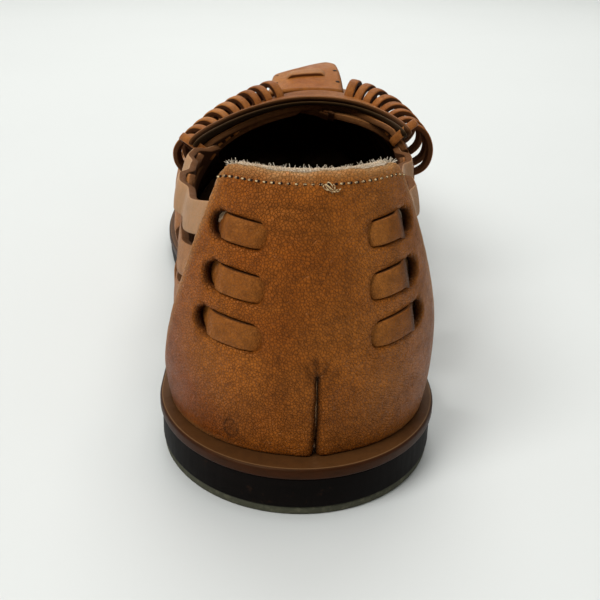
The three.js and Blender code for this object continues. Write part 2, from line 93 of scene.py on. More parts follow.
# The last along its ridge: crest height, outward lean of the wall, fullness of belly and crown
LAST = [
    {"y": 0, "crest": 104, "lean": 0.24, "belly": 0.34, "outer": 0.52, "inner": 0.52, "ridge": 0},
    {"y": 40, "crest": 104, "lean": 0.32, "belly": 0.34, "outer": 0.54, "inner": 0.54, "ridge": 0},
    {"y": 75, "crest": 92, "lean": 0.42, "belly": 0.36, "outer": 0.90, "inner": 1.00, "ridge": 1},
    {"y": 105, "crest": 71, "lean": 0.42, "belly": 0.42, "outer": 1.10, "inner": 2.00, "ridge": 3},
    {"y": 125, "crest": 60.5, "lean": 0.38, "belly": 0.44, "outer": 0.90, "inner": 2.15, "ridge": 5},
    {"y": 143, "crest": 57, "lean": 0.32, "belly": 0.48, "outer": 0.80, "inner": 1.78, "ridge": 6},
    {"y": 178, "crest": 58, "lean": 0.24, "belly": 0.50, "outer": 0.78, "inner": 1.05, "ridge": 6},
    {"y": 204, "crest": 50, "lean": 0.20, "belly": 0.54, "outer": 0.80, "inner": 0.80, "ridge": 7},
    {"y": 236, "crest": 42, "lean": 0.16, "belly": 0.56, "outer": 0.74, "inner": 0.74, "ridge": 7},
    {"y": 290, "crest": 42, "lean": 0.14, "belly": 0.60, "outer": 0.78, "inner": 0.78, "ridge": 7},
]

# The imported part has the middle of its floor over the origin; here the heel's back is at y 0
MIDDLE_X = INNER_SIDE[-1]["x"] - 1000 * WELT_HIGH[0]
MIDDLE_Y = -1000 * WELT_LOW[1]


def mix(a, b, t):
    return a + (b - a) * t


def ease(t):
    return t * t * (3 - 2 * t)


def step(low, high, value):
    return ease(np.clip((value - low) / (high - low), 0, 1))


def read(rows, key, y):
    """Smooth value of one column of a table of stations."""
    ys = np.array([row["y"] for row in rows], float)
    vs = np.array([row[key] for row in rows], float)
    before = np.maximum(np.arange(len(ys)) - 1, 0)
    after = np.minimum(np.arange(len(ys)) + 1, len(ys) - 1)
    slopes = (vs[after] - vs[before]) / (ys[after] - ys[before])
    y = np.clip(np.asarray(y, float), ys[0], ys[-1])
    i = np.clip(np.searchsorted(ys, y, side="right") - 1, 0, len(ys) - 2)
    span = ys[i + 1] - ys[i]
    t = (y - ys[i]) / span
    start = vs[i] * (2 * t ** 3 - 3 * t ** 2 + 1)
    end = vs[i + 1] * (3 * t ** 2 - 2 * t ** 3)
    bend = slopes[i] * (t ** 3 - 2 * t ** 2 + t) + slopes[i + 1] * (t ** 3 - t ** 2)
    return start + end + bend * span


def side_width(rows, y):
    x = np.full(np.shape(y), float(rows[0]["x"]))
    for low, high in zip(rows[:-1], rows[1:]):
        x = np.where(y >= low["y"], mix(low["x"], high["x"], step(low["y"], high["y"], y)), x)
    return x


def flat_edge(side, share, inset, back):
    """Plan outline, share 0 at the back of the heel to 1 at the toe, side -1 outer and 1 inner."""
    side, share = np.broadcast_arrays(np.asarray(side, float), np.asarray(share, float))
    turn = np.clip(share / HEEL_SHARE, 0, 1) * np.pi / 2
    heel_x = side * (HEEL_HALF - inset) * np.sin(turn)
    heel_y = HEEL_DEPTH - (HEEL_DEPTH - back) * np.cos(turn)
    y = mix(HEEL_DEPTH, BALL_Y, np.clip((share - HEEL_SHARE) / (SIDE_SHARE - HEEL_SHARE), 0, 1))
    width = np.where(side < 0, side_width(OUTER_SIDE, y), side_width(INNER_SIDE, y))
    side_x = side * (width - inset)
    sweep = np.clip((share - SIDE_SHARE) / (1 - SIDE_SHARE), 0, 1) * np.pi / 2
    ball = side * (np.where(side < 0, OUTER_SIDE[-1]["x"], INNER_SIDE[-1]["x"]) - inset)
    toe_x = TOE_X + (ball - TOE_X) * np.maximum(np.cos(sweep), 0) ** (2 / 2.3)
    toe_y = BALL_Y + (SOLE_LENGTH - inset - BALL_Y) * np.sin(sweep) ** (2 / 2.1)
    x = np.where(share < HEEL_SHARE, heel_x, np.where(share < SIDE_SHARE, side_x, toe_x))
    return x, np.where(share < HEEL_SHARE, heel_y, np.where(share < SIDE_SHARE, y, toe_y))


def swing(x, y):
    """The toe swings a little to the inner side."""
    amount = step(90, 190, y) * (1 - np.clip((y - 190) / (SOLE_LENGTH - 190), 0, 1))
    return x, y + 0.12 * x * amount


def share_at(y):
    return mix(HEEL_SHARE, SIDE_SHARE, (np.asarray(y, float) - HEEL_DEPTH) / (BALL_Y - HEEL_DEPTH))


def lift(y):
    toe = np.clip((y - SPRING_Y) / (SOLE_LENGTH - SPRING_Y), 0, 1)
    return SPRING * toe * toe + ARCH * step(72, 118, y) * (1 - step(118, 166, y))


def stack(y):
    return mix(HEEL_STACK, BALL_STACK, step(70, 185, y))


def fold(share, w):
    """Past the middle line of the heel or toe, a place is on the other side."""
    share, w = np.broadcast_arrays(np.asarray(share, float), np.asarray(w, float))
    w = np.clip(w, -1, 1)
    away = (share < 0) | (share > 1)
    return np.where(share < 0, -share, np.where(share > 1, 2 - share, share)), np.where(away, -w, w)


def last(share, w):
    """The last: w runs from -1 at the outer foot edge over 0 at the ridge to 1 at the inner."""
    share, w = fold(share, w)
    side = np.where(w < 0, -1.0, 1.0)
    t = 1 - np.abs(w)
    fx, fy = flat_edge(side, share, LEDGE_SIDE + INNER_BUILD, LEDGE_BACK + INNER_BUILD)
    yc = np.clip(fy, HEEL_DEPTH, PIVOT_Y)
    crown = np.where(side < 0, read(LAST, "outer", fy), read(LAST, "inner", fy))
    u = 1 - t
    reach = u ** 3 + 3 * u * u * t * (1 + read(LAST, "lean", fy)) + 3 * u * t * t * crown
    climb = 3 * u * u * t * read(LAST, "belly", fy) + 3 * u * t * t + t ** 3
    cx = read(LAST, "ridge", yc) * np.minimum(1, climb)
    seat = lift(fy) + stack(fy) + GAP
    top = read(LAST, "crest", yc) + lift(yc)
    x, y = swing(cx + (fx - cx) * reach, yc + (fy - yc) * reach)
    return np.stack([x, y, seat + (top - seat) * climb], -1)


def slopes(share, w):
    e = 0.002
    low, high = np.clip(w - e, -1, 1), np.clip(w + e, -1, 1)
    along = (last(share + e, w) - last(share - e, w)) / (2 * e)
    over = (last(share, high) - last(share, low)) / (high - low)[..., None]
    return along, over


def unit(v):
    return v / (np.linalg.norm(v, axis=-1, keepdims=True) + 1e-12)


def outward(share, w):
    share, w = fold(share, w)
    near = np.maximum(share, 0.0005)
    along, over = slopes(near, w)
    n = unit(np.cross(along, over))
    p = last(near, w)
    middle = np.stack([0 * p[..., 0], np.clip(p[..., 1], HEEL_DEPTH, PIVOT_Y), 0 * p[..., 0] + 26], -1)
    return n * np.where(np.sum(n * (p - middle), -1, keepdims=True) < 0, -1, 1)


def on_last(share, w, off):
    return last(share, w) + outward(share, w) * np.asarray(off, float)[..., None]


def glide(share, w, vector):
    """Change of share and w that moves a place over the last by a vector lying on it."""
    along, over = slopes(share, w)
    aa, oo, ao = (np.sum(a * b, -1) for a, b in ((along, along), (over, over), (along, over)))
    va, vo = np.sum(vector * along, -1), np.sum(vector * over, -1)
    det = aa * oo - ao * ao
    return (va * oo - vo * ao) / det, (vo * aa - va * ao) / det


def over(x, y):
    """Place on the last over a point of the plan, before the toe's swing, and its reach to the edge."""
    x, y = np.broadcast_arrays(np.asarray(x, float), np.asarray(y, float))
    ridge = read(LAST, "ridge", np.clip(y, HEEL_DEPTH, PIVOT_Y))
    side = np.where(x < ridge, -1.0, 1.0)
    low = np.where(y < BALL_Y, share_at(y), share_at(90))
    high = np.where(y < BALL_Y, share_at(y), 1.0)
    inset, back = LEDGE_SIDE + INNER_BUILD, LEDGE_BACK + INNER_BUILD
    for _ in range(26):
        middle = (low + high) / 2
        fx, fy = flat_edge(side, middle, inset, back)
        ray = (fy - PIVOT_Y) * np.abs(x - ridge) - (y - PIVOT_Y) * np.abs(fx - ridge)
        short = np.where(y > PIVOT_Y, ray, fy - y) < 0
        low, high = np.where(short, middle, low), np.where(short, high, middle)
    fx, fy = flat_edge(side, high, inset, back)
    whole = np.hypot(fx - ridge, np.maximum(fy - PIVOT_Y, 0))
    reach = np.hypot(x - ridge, np.maximum(y - PIVOT_Y, 0)) / whole
    lean = read(LAST, "lean", fy)
    crown = np.where(side < 0, read(LAST, "outer", fy), read(LAST, "inner", fy))
    a, b = np.full(x.shape, 0.3), np.ones(x.shape)
    for _ in range(24):
        t = (a + b) / 2
        u = 1 - t
        far = u ** 3 + 3 * u * u * t * (1 + lean) + 3 * u * t * t * crown > reach
        a, b = np.where(far, t, a), np.where(far, b, t)
    return high, side * (1 - a), reach


# ---- meshes ----

def to_frame(points):
    """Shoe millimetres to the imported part's metres."""
    return (np.asarray(points, float) - [MIDDLE_X, MIDDLE_Y, 0]) * METRE


def turn_out(mesh):
    """Merge doubles and turn the faces of closed shells outwards."""
    work = bmesh.new()
    work.from_mesh(mesh)
    bmesh.ops.remove_doubles(work, verts=work.verts, dist=1e-7)
    bmesh.ops.recalc_face_normals(work, faces=work.faces)
    work.to_mesh(mesh)
    work.free()


def make_piece(name, parts, material, closed=True):
    """One object from parts, each a tuple of points, faces and marks by name."""
    points, faces, start = [], [], 0
    keys = sorted({key for part in parts for key in part[2]})
    marks = {key: [] for key in keys}
    for part_points, part_faces, part_marks in parts:
        points.append(np.asarray(part_points, float).reshape(-1, 3))
        faces.extend([[int(k) + start for k in face] for face in part_faces])
        count = len(points[-1])
        for key in keys:
            marks[key].append(np.broadcast_to(part_marks.get(key, 0.0), (count,)))
        start += count
    mesh = bpy.data.meshes.new(name)
    mesh.from_pydata(to_frame(np.concatenate(points)).tolist(), [], faces)
    for key in keys:
        layer = mesh.attributes.new(key, "FLOAT", "POINT")
        layer.data.foreach_set("value", np.concatenate(marks[key]).astype(np.float32))
    if closed:
        turn_out(mesh)
    mesh.materials.append(material)
    mesh.polygons.foreach_set("use_smooth", [True] * len(mesh.polygons))
    piece = bpy.data.objects.new(name, mesh)
    bpy.context.scene.collection.objects.link(piece)
    return piece


def hand_over(piece, slot, *nodes):
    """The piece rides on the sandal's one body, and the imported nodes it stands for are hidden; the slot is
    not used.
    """
    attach(piece, "root")
    if nodes:
        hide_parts(*nodes)
    return piece


def net(rows, columns, closed=False):
    """Four-sided faces over rows of points; a closed net joins each row's last point to its first."""
    i, j = np.meshgrid(np.arange(rows - 1), np.arange(columns if closed else columns - 1), indexing="ij")
    a = (i * columns + j).ravel()
    b = (i * columns + (j + 1) % columns).ravel()
    return np.stack([a, b, b + columns, a + columns], 1)


def skin(count, around):
    """Faces over rings that follow one another, with both ends closed."""
    faces = net(count, around, closed=True).tolist()
    faces.append(list(range(around - 1, -1, -1)))
    faces.append(list(range((count - 1) * around, count * around)))
    return faces


def runs(points):
    """Length along a row of points up to each of them."""
    gaps = np.linalg.norm(np.diff(points, axis=0), axis=1)
    return np.concatenate([[0], np.cumsum(gaps)])


def smooth_path(stops, pace, lengths=None):
    """Evenly paced values on a smooth curve through the stops."""
    stops = np.asarray(stops, float)
    if lengths is None:
        lengths = runs(last(stops[:, 0], stops[:, 1]))
    want = np.linspace(0, lengths[-1], max(int(lengths[-1] / pace), 8))
    columns = []
    for column in stops.T:
        rows = [{"y": place, "at": value} for place, value in zip(lengths, column)]
        columns.append(read(rows, "at", want))
    return np.stack(columns, -1)


GRAIN, CUT, FLESH = 0.0, 1.0, 2.0


def strap_section(width, thick):
    """A strap cut across: place from edge to edge, height, and face; the grain side is crowned."""
    half = width / 2
    across = np.array([-1, -0.965, -0.88, -0.6, -0.25, 0.25, 0.6, 0.88, 0.965, 1])
    drop = np.array([0.42, 0.16, 0.05, 0, 0, 0, 0, 0.05, 0.16, 0.42])
    crown = 0.14 * (1 - across ** 2)
    top = np.stack([across * half, thick - drop + crown], -1)
    edge = np.array([[half, thick * 0.5], [half * 0.99, 0.12]])
    low = np.array([[half * 0.93, 0], [0, 0], [-half * 0.93, 0]])
    section = np.concatenate([top, edge, low, edge[::-1] * [-1, 1]])
    face = np.array([CUT] + [GRAIN] * 8 + [CUT] * 3 + [FLESH] * 3 + [CUT] * 2)
    return section[:, 0], section[:, 1], face


def strap_marks(reach, face, **more):
    count, around = reach.shape
    return {
        "face": np.tile(face, count),
        **{key: np.repeat(np.broadcast_to(value, (count,)), around) for key, value in more.items()},
    }


def lay_strap(path, width, thick, **more):
    """A strap laid on the last; the path holds share, w and the height of its lower face."""
    share, w, off = np.asarray(path, float).T
    spine = last(share, w)
    way = unit(np.gradient(spine, axis=0))
    across = unit(np.cross(outward(share, w), way))
    ds, dw = glide(share, w, across)
    place, height, face = strap_section(1.0, thick)
    reach = place * np.broadcast_to(width, share.shape)[:, None]
    points = on_last(share[:, None] + reach * ds[:, None], w[:, None] + reach * dw[:, None],
                     off[:, None] + height[None, :])
    return points.reshape(-1, 3), skin(*reach.shape), strap_marks(reach, face, **more)


def free_strap(spine, side, width, thick, **more):
    """A strap along points in space, its width along the side vectors."""
    way = unit(np.gradient(spine, axis=0))
    across = unit(side - way * np.sum(side * way, -1, keepdims=True))
    out = unit(np.cross(way, across))
    place, height, face = strap_section(width, thick)
    reach = np.tile(place, (len(spine), 1))
    lift_up = (height - thick / 2)[None, :, None]
    points = spine[:, None] + across[:, None] * reach[..., None] + out[:, None] * lift_up
    return points.reshape(-1, 3), skin(*reach.shape), strap_marks(reach, face, **more)


def cord_mesh(spine, radius, around=6):
    """A thin round thread along points in space."""
    spine = np.asarray(spine, float)
    way = unit(np.gradient(spine, axis=0))
    side = unit(np.cross(way, [0.3, 0.2, 1.0]))
    up = np.cross(way, side)
    turn = np.linspace(0, 2 * np.pi, around, endpoint=False)
    ring = np.cos(turn)[None, :, None] * side[:, None] + np.sin(turn)[None, :, None] * up[:, None]
    points = spine[:, None] + ring * radius
    return points.reshape(-1, 3), skin(len(spine), around), {}


# ---- sole ----

SOLE_STEPS = 120
CAP_COLUMNS = 10


def layer(low, high, inset, back, corner):
    """A layer of the sole between two heights, with its edges rounded."""
    shares = np.linspace(0, 1, SOLE_STEPS + 1)
    shares = mix(shares, ease(shares), 0.35)

    def loop(extra):
        outer = np.stack(flat_edge(-1, shares, inset + extra, back + extra), -1)
        inner = np.stack(flat_edge(1, shares[1:-1][::-1], inset + extra, back + extra), -1)
        x, y = np.concatenate([outer, inner]).T
        return swing(x, y)

    turn = np.linspace(0, np.pi / 2, 5)
    rounded = [(corner * (1 - np.sin(a)), corner * (1 - np.cos(a))) for a in turn]
    profile = [(corner + 0.5, 0.0)] + rounded + [(e, -z) for e, z in rounded[::-1]] + [(corner + 0.5, -0.0)]
    parts, rings, heights = [], [], []
    half = len(rounded) + 1
    for k, (extra, z) in enumerate(profile):
        x, y = loop(extra)
        level = (low(y) if k < half else high(y)) + z
        rings.append(np.stack([x, y, level], -1))
        heights.append(np.full(len(x), k / (len(profile) - 1)))
    around = len(rings[0])
    points = np.concatenate(rings)
    faces = net(len(rings), around, closed=True).tolist()
    parts.append((points, faces, {"up": np.concatenate(heights)}))
    for ring, level, height in ((rings[0], low, 0.0), (rings[-1], high, 1.0)):
        outer = ring[: SOLE_STEPS + 1]
        inner = np.concatenate([ring[:1], ring[SOLE_STEPS + 1:][::-1], ring[SOLE_STEPS: SOLE_STEPS + 1]])
        share = np.linspace(0, 1, CAP_COLUMNS + 1)[None, :, None]
        grid = mix(outer[:, None], inner[:, None], share)
        grid[:, 1:-1, 2] = level(grid[:, 1:-1, 1])
        faces = net(SOLE_STEPS + 1, CAP_COLUMNS + 1).tolist()
        parts.append((grid.reshape(-1, 3), faces, {"up": height}))
    return parts


def tread_top(y):
    return lift(y) + TREAD


def middle_top(y):
    return lift(y) + stack(y) - WELT - GAP


def welt_top(y):
    return lift(y) + stack(y)


# ---- heel counter ----

# Rows of laced straps: height up the last, shares where they come out and go in, drop and width
ROWS = [
    {"t": 0.411, "from": 0.0480, "to": 0.089, "tilt": 0.008, "wide": 5.2},
    {"t": 0.324, "from": 0.0465, "to": 0.089, "tilt": 0.010, "wide": 5.4},
    {"t": 0.241, "from": 0.0470, "to": 0.094, "tilt": 0.012, "wide": 5.5},
]
# The counter's middle line lies this share to the inner side
SEAM = 0.0115
# Heights over the last and thicknesses: the straps inside, the counter, and the straps laced outside
INSIDE = 0.25
WALL = 2.1
COUNTER = 2.2
COUNTER_OFF = INSIDE + WALL + 0.6
TAB_OFF = 3.3
SINK = COUNTER_OFF - (TAB_OFF - GAP - COUNTER)
COUNTER_TOP = 0.522
AROUND = 280.0
UPWARD = 119.0
DART_TOP = 21.0
# How far the grain is rounded down: along the counter's edge, along its slots and round the beds
EDGE_ROUND = 0.75
SLOT_ROUND = 0.35
BED_GROOVE = 0.30
# The flat pattern stretches this much where the rows lie
BED_SHRINK = 1.13
BED_EASE = 0.15

# Creases pressed in by wear, on the counter laid flat: ends, depth and width in millimetres
CREASES = [
    {"x": 0.0, "y": 20.5, "x2": -0.6, "y2": 26.5, "depth": 0.55, "wide": 0.7},
    {"x": -1.2, "y": 20.8, "x2": -2.9, "y2": 24.6, "depth": 0.35, "wide": 0.7},
    {"x": 1.1, "y": 21.0, "x2": 2.4, "y2": 25.8, "depth": 0.42, "wide": 0.7},
    {"x": 2.3, "y": 20.0, "x2": 4.6, "y2": 23.0, "depth": 0.25, "wide": 0.8},
    {"x": -14.0, "y": 55.2, "x2": 10.0, "y2": 54.6, "depth": 0.20, "wide": 0.6},
    {"x": -10.0, "y": 53.0, "x2": 4.0, "y2": 52.6, "depth": 0.15, "wide": 0.5},
    {"x": -20.0, "y": 50.2, "x2": 16.0, "y2": 49.6, "depth": 0.13, "wide": 0.6},
    {"x": -13.0, "y": 39.0, "x2": -9.6, "y2": 42.4, "depth": 0.22, "wide": 0.5},
    {"x": -9.0, "y": 26.0, "x2": 9.0, "y2": 30.0, "depth": 0.35, "wide": 4.0},
    {"x": -30.0, "y": 14.0, "x2": -8.0, "y2": 8.0, "depth": 0.30, "wide": 5.0},
    {"x": 6.0, "y": 7.0, "x2": 26.0, "y2": 13.0, "depth": 0.28, "wide": 4.5},
]
# Marks on the grain: middle and size of each oval, and how dark its rim and its inside are
MARKS = [
    {"x": -19.0, "y": 6.5, "wide": 1.7, "tall": 2.3, "rim": 0.8, "inside": 0.3},
    {"x": -8.4, "y": 25.2, "wide": 1.0, "tall": 1.6, "rim": 0.2, "inside": 0.5},
    {"x": 12.5, "y": 39.0, "wide": 5.0, "tall": 3.4, "rim": 0.0, "inside": -0.55},
    {"x": -2.0, "y": 16.0, "wide": 11.0, "tall": 10.0, "rim": 0.0, "inside": 0.22},
    {"x": 3.0, "y": 47.0, "wide": 9.0, "tall": 8.0, "rim": 0.0, "inside": 0.08},
]


def row_t(row, share):
    return row["t"] + row["tilt"] * (share - row["from"]) / (row["to"] - row["from"])


def counter_front(t):
    """Front edge of the counter, sloping down and forward, with a rounded top corner."""
    slope = mix(0.205, 0.100, np.clip(t / COUNTER_TOP, 0, 1) ** 0.66)
    corner = np.clip((t - COUNTER_TOP + 0.036) / 0.036, 0, 1)
    return slope - 0.014 * (1 - np.sqrt(1 - corner ** 2))


def tab_place(row, x, y):
    """A place of the flat counter as seen from one laced strap: along it from the back, and across."""
    share = np.abs(x) / AROUND
    return (share - row["from"]) * AROUND, y - row_t(row, share) * UPWARD


def tab_distance(row, x, y):
    """Millimetres outside the strap's bed, which is rounded at the back and square at the front."""
    along, across = tab_place(row, x, y)
    half = row["wide"] / BED_SHRINK / 2 + BED_EASE
    corner = 0.82 * half
    qx, qy = corner - 0.8 - along, np.abs(across) - (half - corner)
    rear = np.hypot(np.maximum(qx, 0), np.maximum(qy, 0)) - corner + np.minimum(np.maximum(qx, qy), 0)
    return np.maximum(rear, along - (row["to"] - row["from"]) * AROUND - 0.6)


def bed_loop(row, side, grow):
    """Points round a strap's bed, grown by some millimetres, from the slot round the back to the slot."""
    half = row["wide"] / BED_SHRINK / 2 + BED_EASE
    corner = 0.82 * half
    end = (row["to"] - row["from"]) * AROUND - 0.9
    turn = np.linspace(0, np.pi / 2, 9)
    bend = corner + grow
    rounded = [(corner - 0.8 - bend * np.sin(a), half - corner + bend * np.cos(a)) for a in turn]
    top = [(a, half + grow) for a in np.linspace(end, corner - 0.8, 18)[:-1]] + rounded
    whole = top + [(a, -b) for a, b in top[::-1]]
    along, across = np.array(whole).T
    share = row["from"] + along / AROUND
    return np.stack([side * share * AROUND, across + row_t(row, share) * UPWARD], -1)


def slot_loop(row, side):
    """The crescent opening that a strap goes in by."""
    half = row["wide"] / BED_SHRINK / 2 + 0.2
    end = (row["to"] - row["from"]) * AROUND
    bend = np.linspace(-1, 1, 13)
    front = [(end + 0.2 + 2.9 * np.sqrt(1 - 0.98 * b * b), half * b) for b in bend]
    rear = [(end - 0.5, half * b) for b in bend[::-2]]
    along, across = np.array(front + rear).T
    share = row["from"] + along / AROUND
    return np.stack([side * share * AROUND, across + row_t(row, share) * UPWARD], -1)


def counter_edge():
    """Outline of the flat counter, from the dart round the inner side, the top and the outer side."""
    rng = np.random.default_rng(7)
    t = np.linspace(0, COUNTER_TOP, 105)
    front = counter_front(t) * AROUND
    rise = np.linspace(0, 1, 36)
    foot = 1.3 * (1 - np.clip(rise * DART_TOP / 1.6, 0, 1)) ** 2
    open_by = 0.08 + 0.30 * (1 - rise) ** 0.7
    ragged = rng.uniform(-0.14, 0.14, len(rise)) * (rise < 0.97)
    right = np.stack([open_by + foot, rise * DART_TOP], -1)[:-1]
    left = np.stack([-open_by - foot + ragged, rise * DART_TOP], -1)[:-1]
    bottom = np.linspace(0, 1, 90)[1:-1, None]
    right_low = mix(right[0], np.array([front[0], 0]), bottom)
    left_low = mix(np.array([-front[0], 0]), left[0], bottom)
    side = np.stack([front, t * UPWARD], -1)
    top = np.linspace(1, -1, 100)[1:-1, None] * [front[-1], 0] + [0, COUNTER_TOP * UPWARD]
    wave = 0.22 * np.sin(top[:, 0] * 0.23) + 0.12 * np.sin(top[:, 0] * 0.71 + 1)
    top[:, 1] += wave * np.clip(9 - np.abs(top[:, 0]) / 3, 0, 1)
    tip = np.array([[0.0, DART_TOP]])
    return np.concatenate([tip, right[::-1], right_low, side, top, (side * [-1, 1])[::-1], left_low, left])


def inside_loop(points, loop):
    """Which points of the plane lie inside a closed loop."""
    x, y = points.T
    found = np.zeros(len(points), bool)
    for (ax, ay), (bx, by) in zip(loop, np.roll(loop, -1, axis=0)):
        hit = (ay > y) != (by > y)
        cut = (bx - ax) * (y - ay) / (by - ay if by != ay else 1e-12) + ax
        found ^= hit & (x < cut)
    return found


def nearest(points, loop):
    """Distance from each point to the nearest point of a dense loop."""
    tree = KDTree(len(loop))
    for k, (x, y) in enumerate(loop):
        tree.insert((x, y, 0), k)
    tree.balance()
    return np.array([tree.find((x, y, 0))[2] for x, y in points])


def to_segment(x, y, row):
    """Distance to a segment, and the share of the way along it."""
    ax, ay, bx, by = row["x"], row["y"], row["x2"], row["y2"]
    long = (bx - ax) ** 2 + (by - ay) ** 2
    share = np.clip(((x - ax) * (bx - ax) + (y - ay) * (by - ay)) / long, 0, 1)
    return np.hypot(x - mix(ax, bx, share), y - mix(ay, by, share)), share


def counter_sheet():
    """The counter's flat pattern with its slots cut out and its dart, as triangles, with each point's
    distance to the edge and to the slots.
    """
    edge = counter_edge()
    slots = [slot_loop(row, side) for row in ROWS for side in (-1, 1)]
    beds = [bed_loop(row, side, grow) for row in ROWS for side in (-1, 1) for grow in (-0.30, 0.12, 0.55)]
    pace = 0.62
    gx, gy = np.meshgrid(np.arange(-58.2, 58.3, pace), np.arange(0.3, COUNTER_TOP * UPWARD, pace))
    gx = gx + (np.arange(gx.shape[0]) % 2)[:, None] * pace / 2
    grid = np.stack([gx.ravel(), gy.ravel()], -1)
    lines = [edge] + slots + beds
    dense = np.concatenate(lines)
    keep = (nearest(grid, dense) > 0.40) & inside_loop(grid, edge)
    points = [tuple(p) for p in grid[keep]]
    edges = []
    for k, line in enumerate(lines):
        start = len(points)
        points.extend(tuple(p) for p in line)
        count = len(line)
        whole = count if k < 1 + len(slots) else count - 1
        edges.extend((start + i, start + (i + 1) % count) for i in range(whole))
    flat, _, faces, *_ = delaunay_2d_cdt([Vector(p) for p in points], edges, [], 0, 1e-5, False)
    flat = np.array([tuple(v) for v in flat])
    faces = np.array([tuple(f) for f in faces])
    middle = flat[faces].mean(axis=1)
    inside = inside_loop(middle, edge)
    for slot in slots:
        inside &= ~inside_loop(middle, slot)
    faces = faces[inside]
    used, faces = np.unique(faces, return_inverse=True)
    faces = faces.reshape(-1, 3)
    return flat[used], faces, nearest(flat[used], edge), nearest(flat[used], np.concatenate(slots))


def counter_relief(x, y, rim, slot):
    """Height of the grain side over its plain level, how far the bed sinks, and how dark the grain is made:
    real marks, painted shade in the creases, the grooves round the beds and low down by the ledge, and darker
    towards both sides.
    """
    sink = np.zeros(len(x))
    groove = np.zeros(len(x))
    for row in ROWS:
        distance = tab_distance(row, x, y)
        sink = np.maximum(sink, 1 - step(-0.30, 0.55, distance))
        groove = np.maximum(groove, 1 - step(0.0, 2.2, distance))
    relief = -BED_GROOVE * groove * groove
    crease = np.zeros(len(x))
    for row in CREASES:
        away, share = to_segment(x, y, row)
        deep = np.exp(-(away / row["wide"]) ** 2) * np.sin(np.pi * (0.12 + 0.88 * share)) ** 0.7
        relief -= row["depth"] * deep
        crease = np.maximum(crease, deep * row["depth"] / (0.12 + row["wide"]))
    round_off = np.clip(1 - rim / 1.1, 0, 1)
    relief -= EDGE_ROUND * round_off ** 2
    relief -= SLOT_ROUND * np.clip(1 - slot / 0.8, 0, 1) ** 2
    near_dart = np.exp(-((np.abs(x) - 2.2) / 2.4) ** 2) * (1 - step(DART_TOP - 6, DART_TOP + 4, y))
    relief += 0.45 * near_dart
    # Painted shade: darker in the creases and the grooves round the strap beds, and low down where the
    # counter meets the ledge; the counter is also made darker towards both sides
    stain = np.clip(crease * 1.2, 0, 0.6) + 0.30 * np.clip(groove, 0, 1) ** 4
    stain += 0.16 * (1 - step(1, 20, y)) + 0.14 * step(24, 52, np.abs(x))
    for row in MARKS:
        d = np.hypot((x - row["x"]) / row["wide"], (y - row["y"]) / row["tall"])
        stain += row["rim"] * np.exp(-((d - 1) / 0.16) ** 2) + row["inside"] * (1 - step(0.3, 1.15, d))
    return relief, sink, stain


def on_counter(x, y, off):
    """Place of a point of the flat counter at a height over the last, kept above the sole."""
    share = x / AROUND + SEAM
    t = y / UPWARD
    side = np.where(share < 0, -1.0, 1.0)
    points = on_last(np.abs(share), side * (1 - t), off)
    floor = welt_top(points[..., 1]) + GAP
    points[..., 2] = np.maximum(points[..., 2], floor)
    return points


def counter_part():
    flat, faces, rim, slot = counter_sheet()
    x, y = flat.T
    relief, sink, stain = counter_relief(x, y, rim, slot)
    inner_off = COUNTER_OFF - SINK * sink
    grain = on_counter(x, y, inner_off + COUNTER + relief)
    flesh = on_counter(x, y, inner_off + 0.12 * np.clip(1 - rim / 0.8, 0, 1))
    count = len(flat)
    sides = np.concatenate([faces[:, [0, 1]], faces[:, [1, 2]], faces[:, [2, 0]]])
    key = np.sort(sides, axis=1)
    _, first, seen = np.unique(key, axis=0, return_index=True, return_counts=True)
    open_sides = sides[first[seen == 1]]
    start, end = open_sides.T
    band = np.stack([end, start, start + count, end + count], 1)
    all_faces = faces.tolist() + (faces[:, ::-1] + count).tolist() + band.tolist()
    wear = np.maximum(step(38, 50, y), step(14, 26, np.abs(x)))
    cut = np.where((rim < 0.18) & (wear > 0.5), CUT, GRAIN)
    # Painted shade: the grain darkens into the slots and along the bottom edge and the dart where they are
    # not worn, and the flesh side there is painted near black as the shade seen through the slots and under
    # the edge
    dark = np.maximum(np.clip(1 - slot / 0.9, 0, 1), np.clip(1 - rim / 1.0, 0, 1) * (1 - wear))
    stain = stain + 0.8 * dark
    marks = {
        "face": np.concatenate([cut, np.where(dark > 0, GRAIN, FLESH)]),
        "stain": np.concatenate([stain, np.where(dark > 0, 1.2, 0.0)]),
        "rim": np.concatenate([np.clip(1 - rim / 3.0, 0, 1) * wear] * 2),
    }
    return np.concatenate([grain, flesh]), all_faces, marks


# ---- straps ----

# Side straps forward of the laced rows, and the straps that cross them: y along the sole, t up the last
FORWARD = [
    [{"y": 44, "t": 0.385}, {"y": 70, "t": 0.40}, {"y": 98, "t": 0.46}, {"y": 122, "t": 0.56}],
    [{"y": 50, "t": 0.295}, {"y": 84, "t": 0.28}, {"y": 118, "t": 0.38}, {"y": 146, "t": 0.52}],
    [{"y": 52, "t": 0.205}, {"y": 74, "t": 0.13}, {"y": 96, "t": 0.0}],
]
CROSSING = [
    [{"y": 58, "t": 0.0}, {"y": 84, "t": 0.19}, {"y": 104, "t": 0.36}, {"y": 124, "t": 0.53}],
    [{"y": 128, "t": 0.0}, {"y": 104, "t": 0.19}, {"y": 84, "t": 0.33}, {"y": 62, "t": 0.40}],
    [{"y": 90, "t": 0.0}, {"y": 114, "t": 0.18}, {"y": 134, "t": 0.36}, {"y": 148, "t": 0.54}],
    [{"y": 152, "t": 0.0}, {"y": 134, "t": 0.18}, {"y": 116, "t": 0.36}, {"y": 102, "t": 0.48}],
]
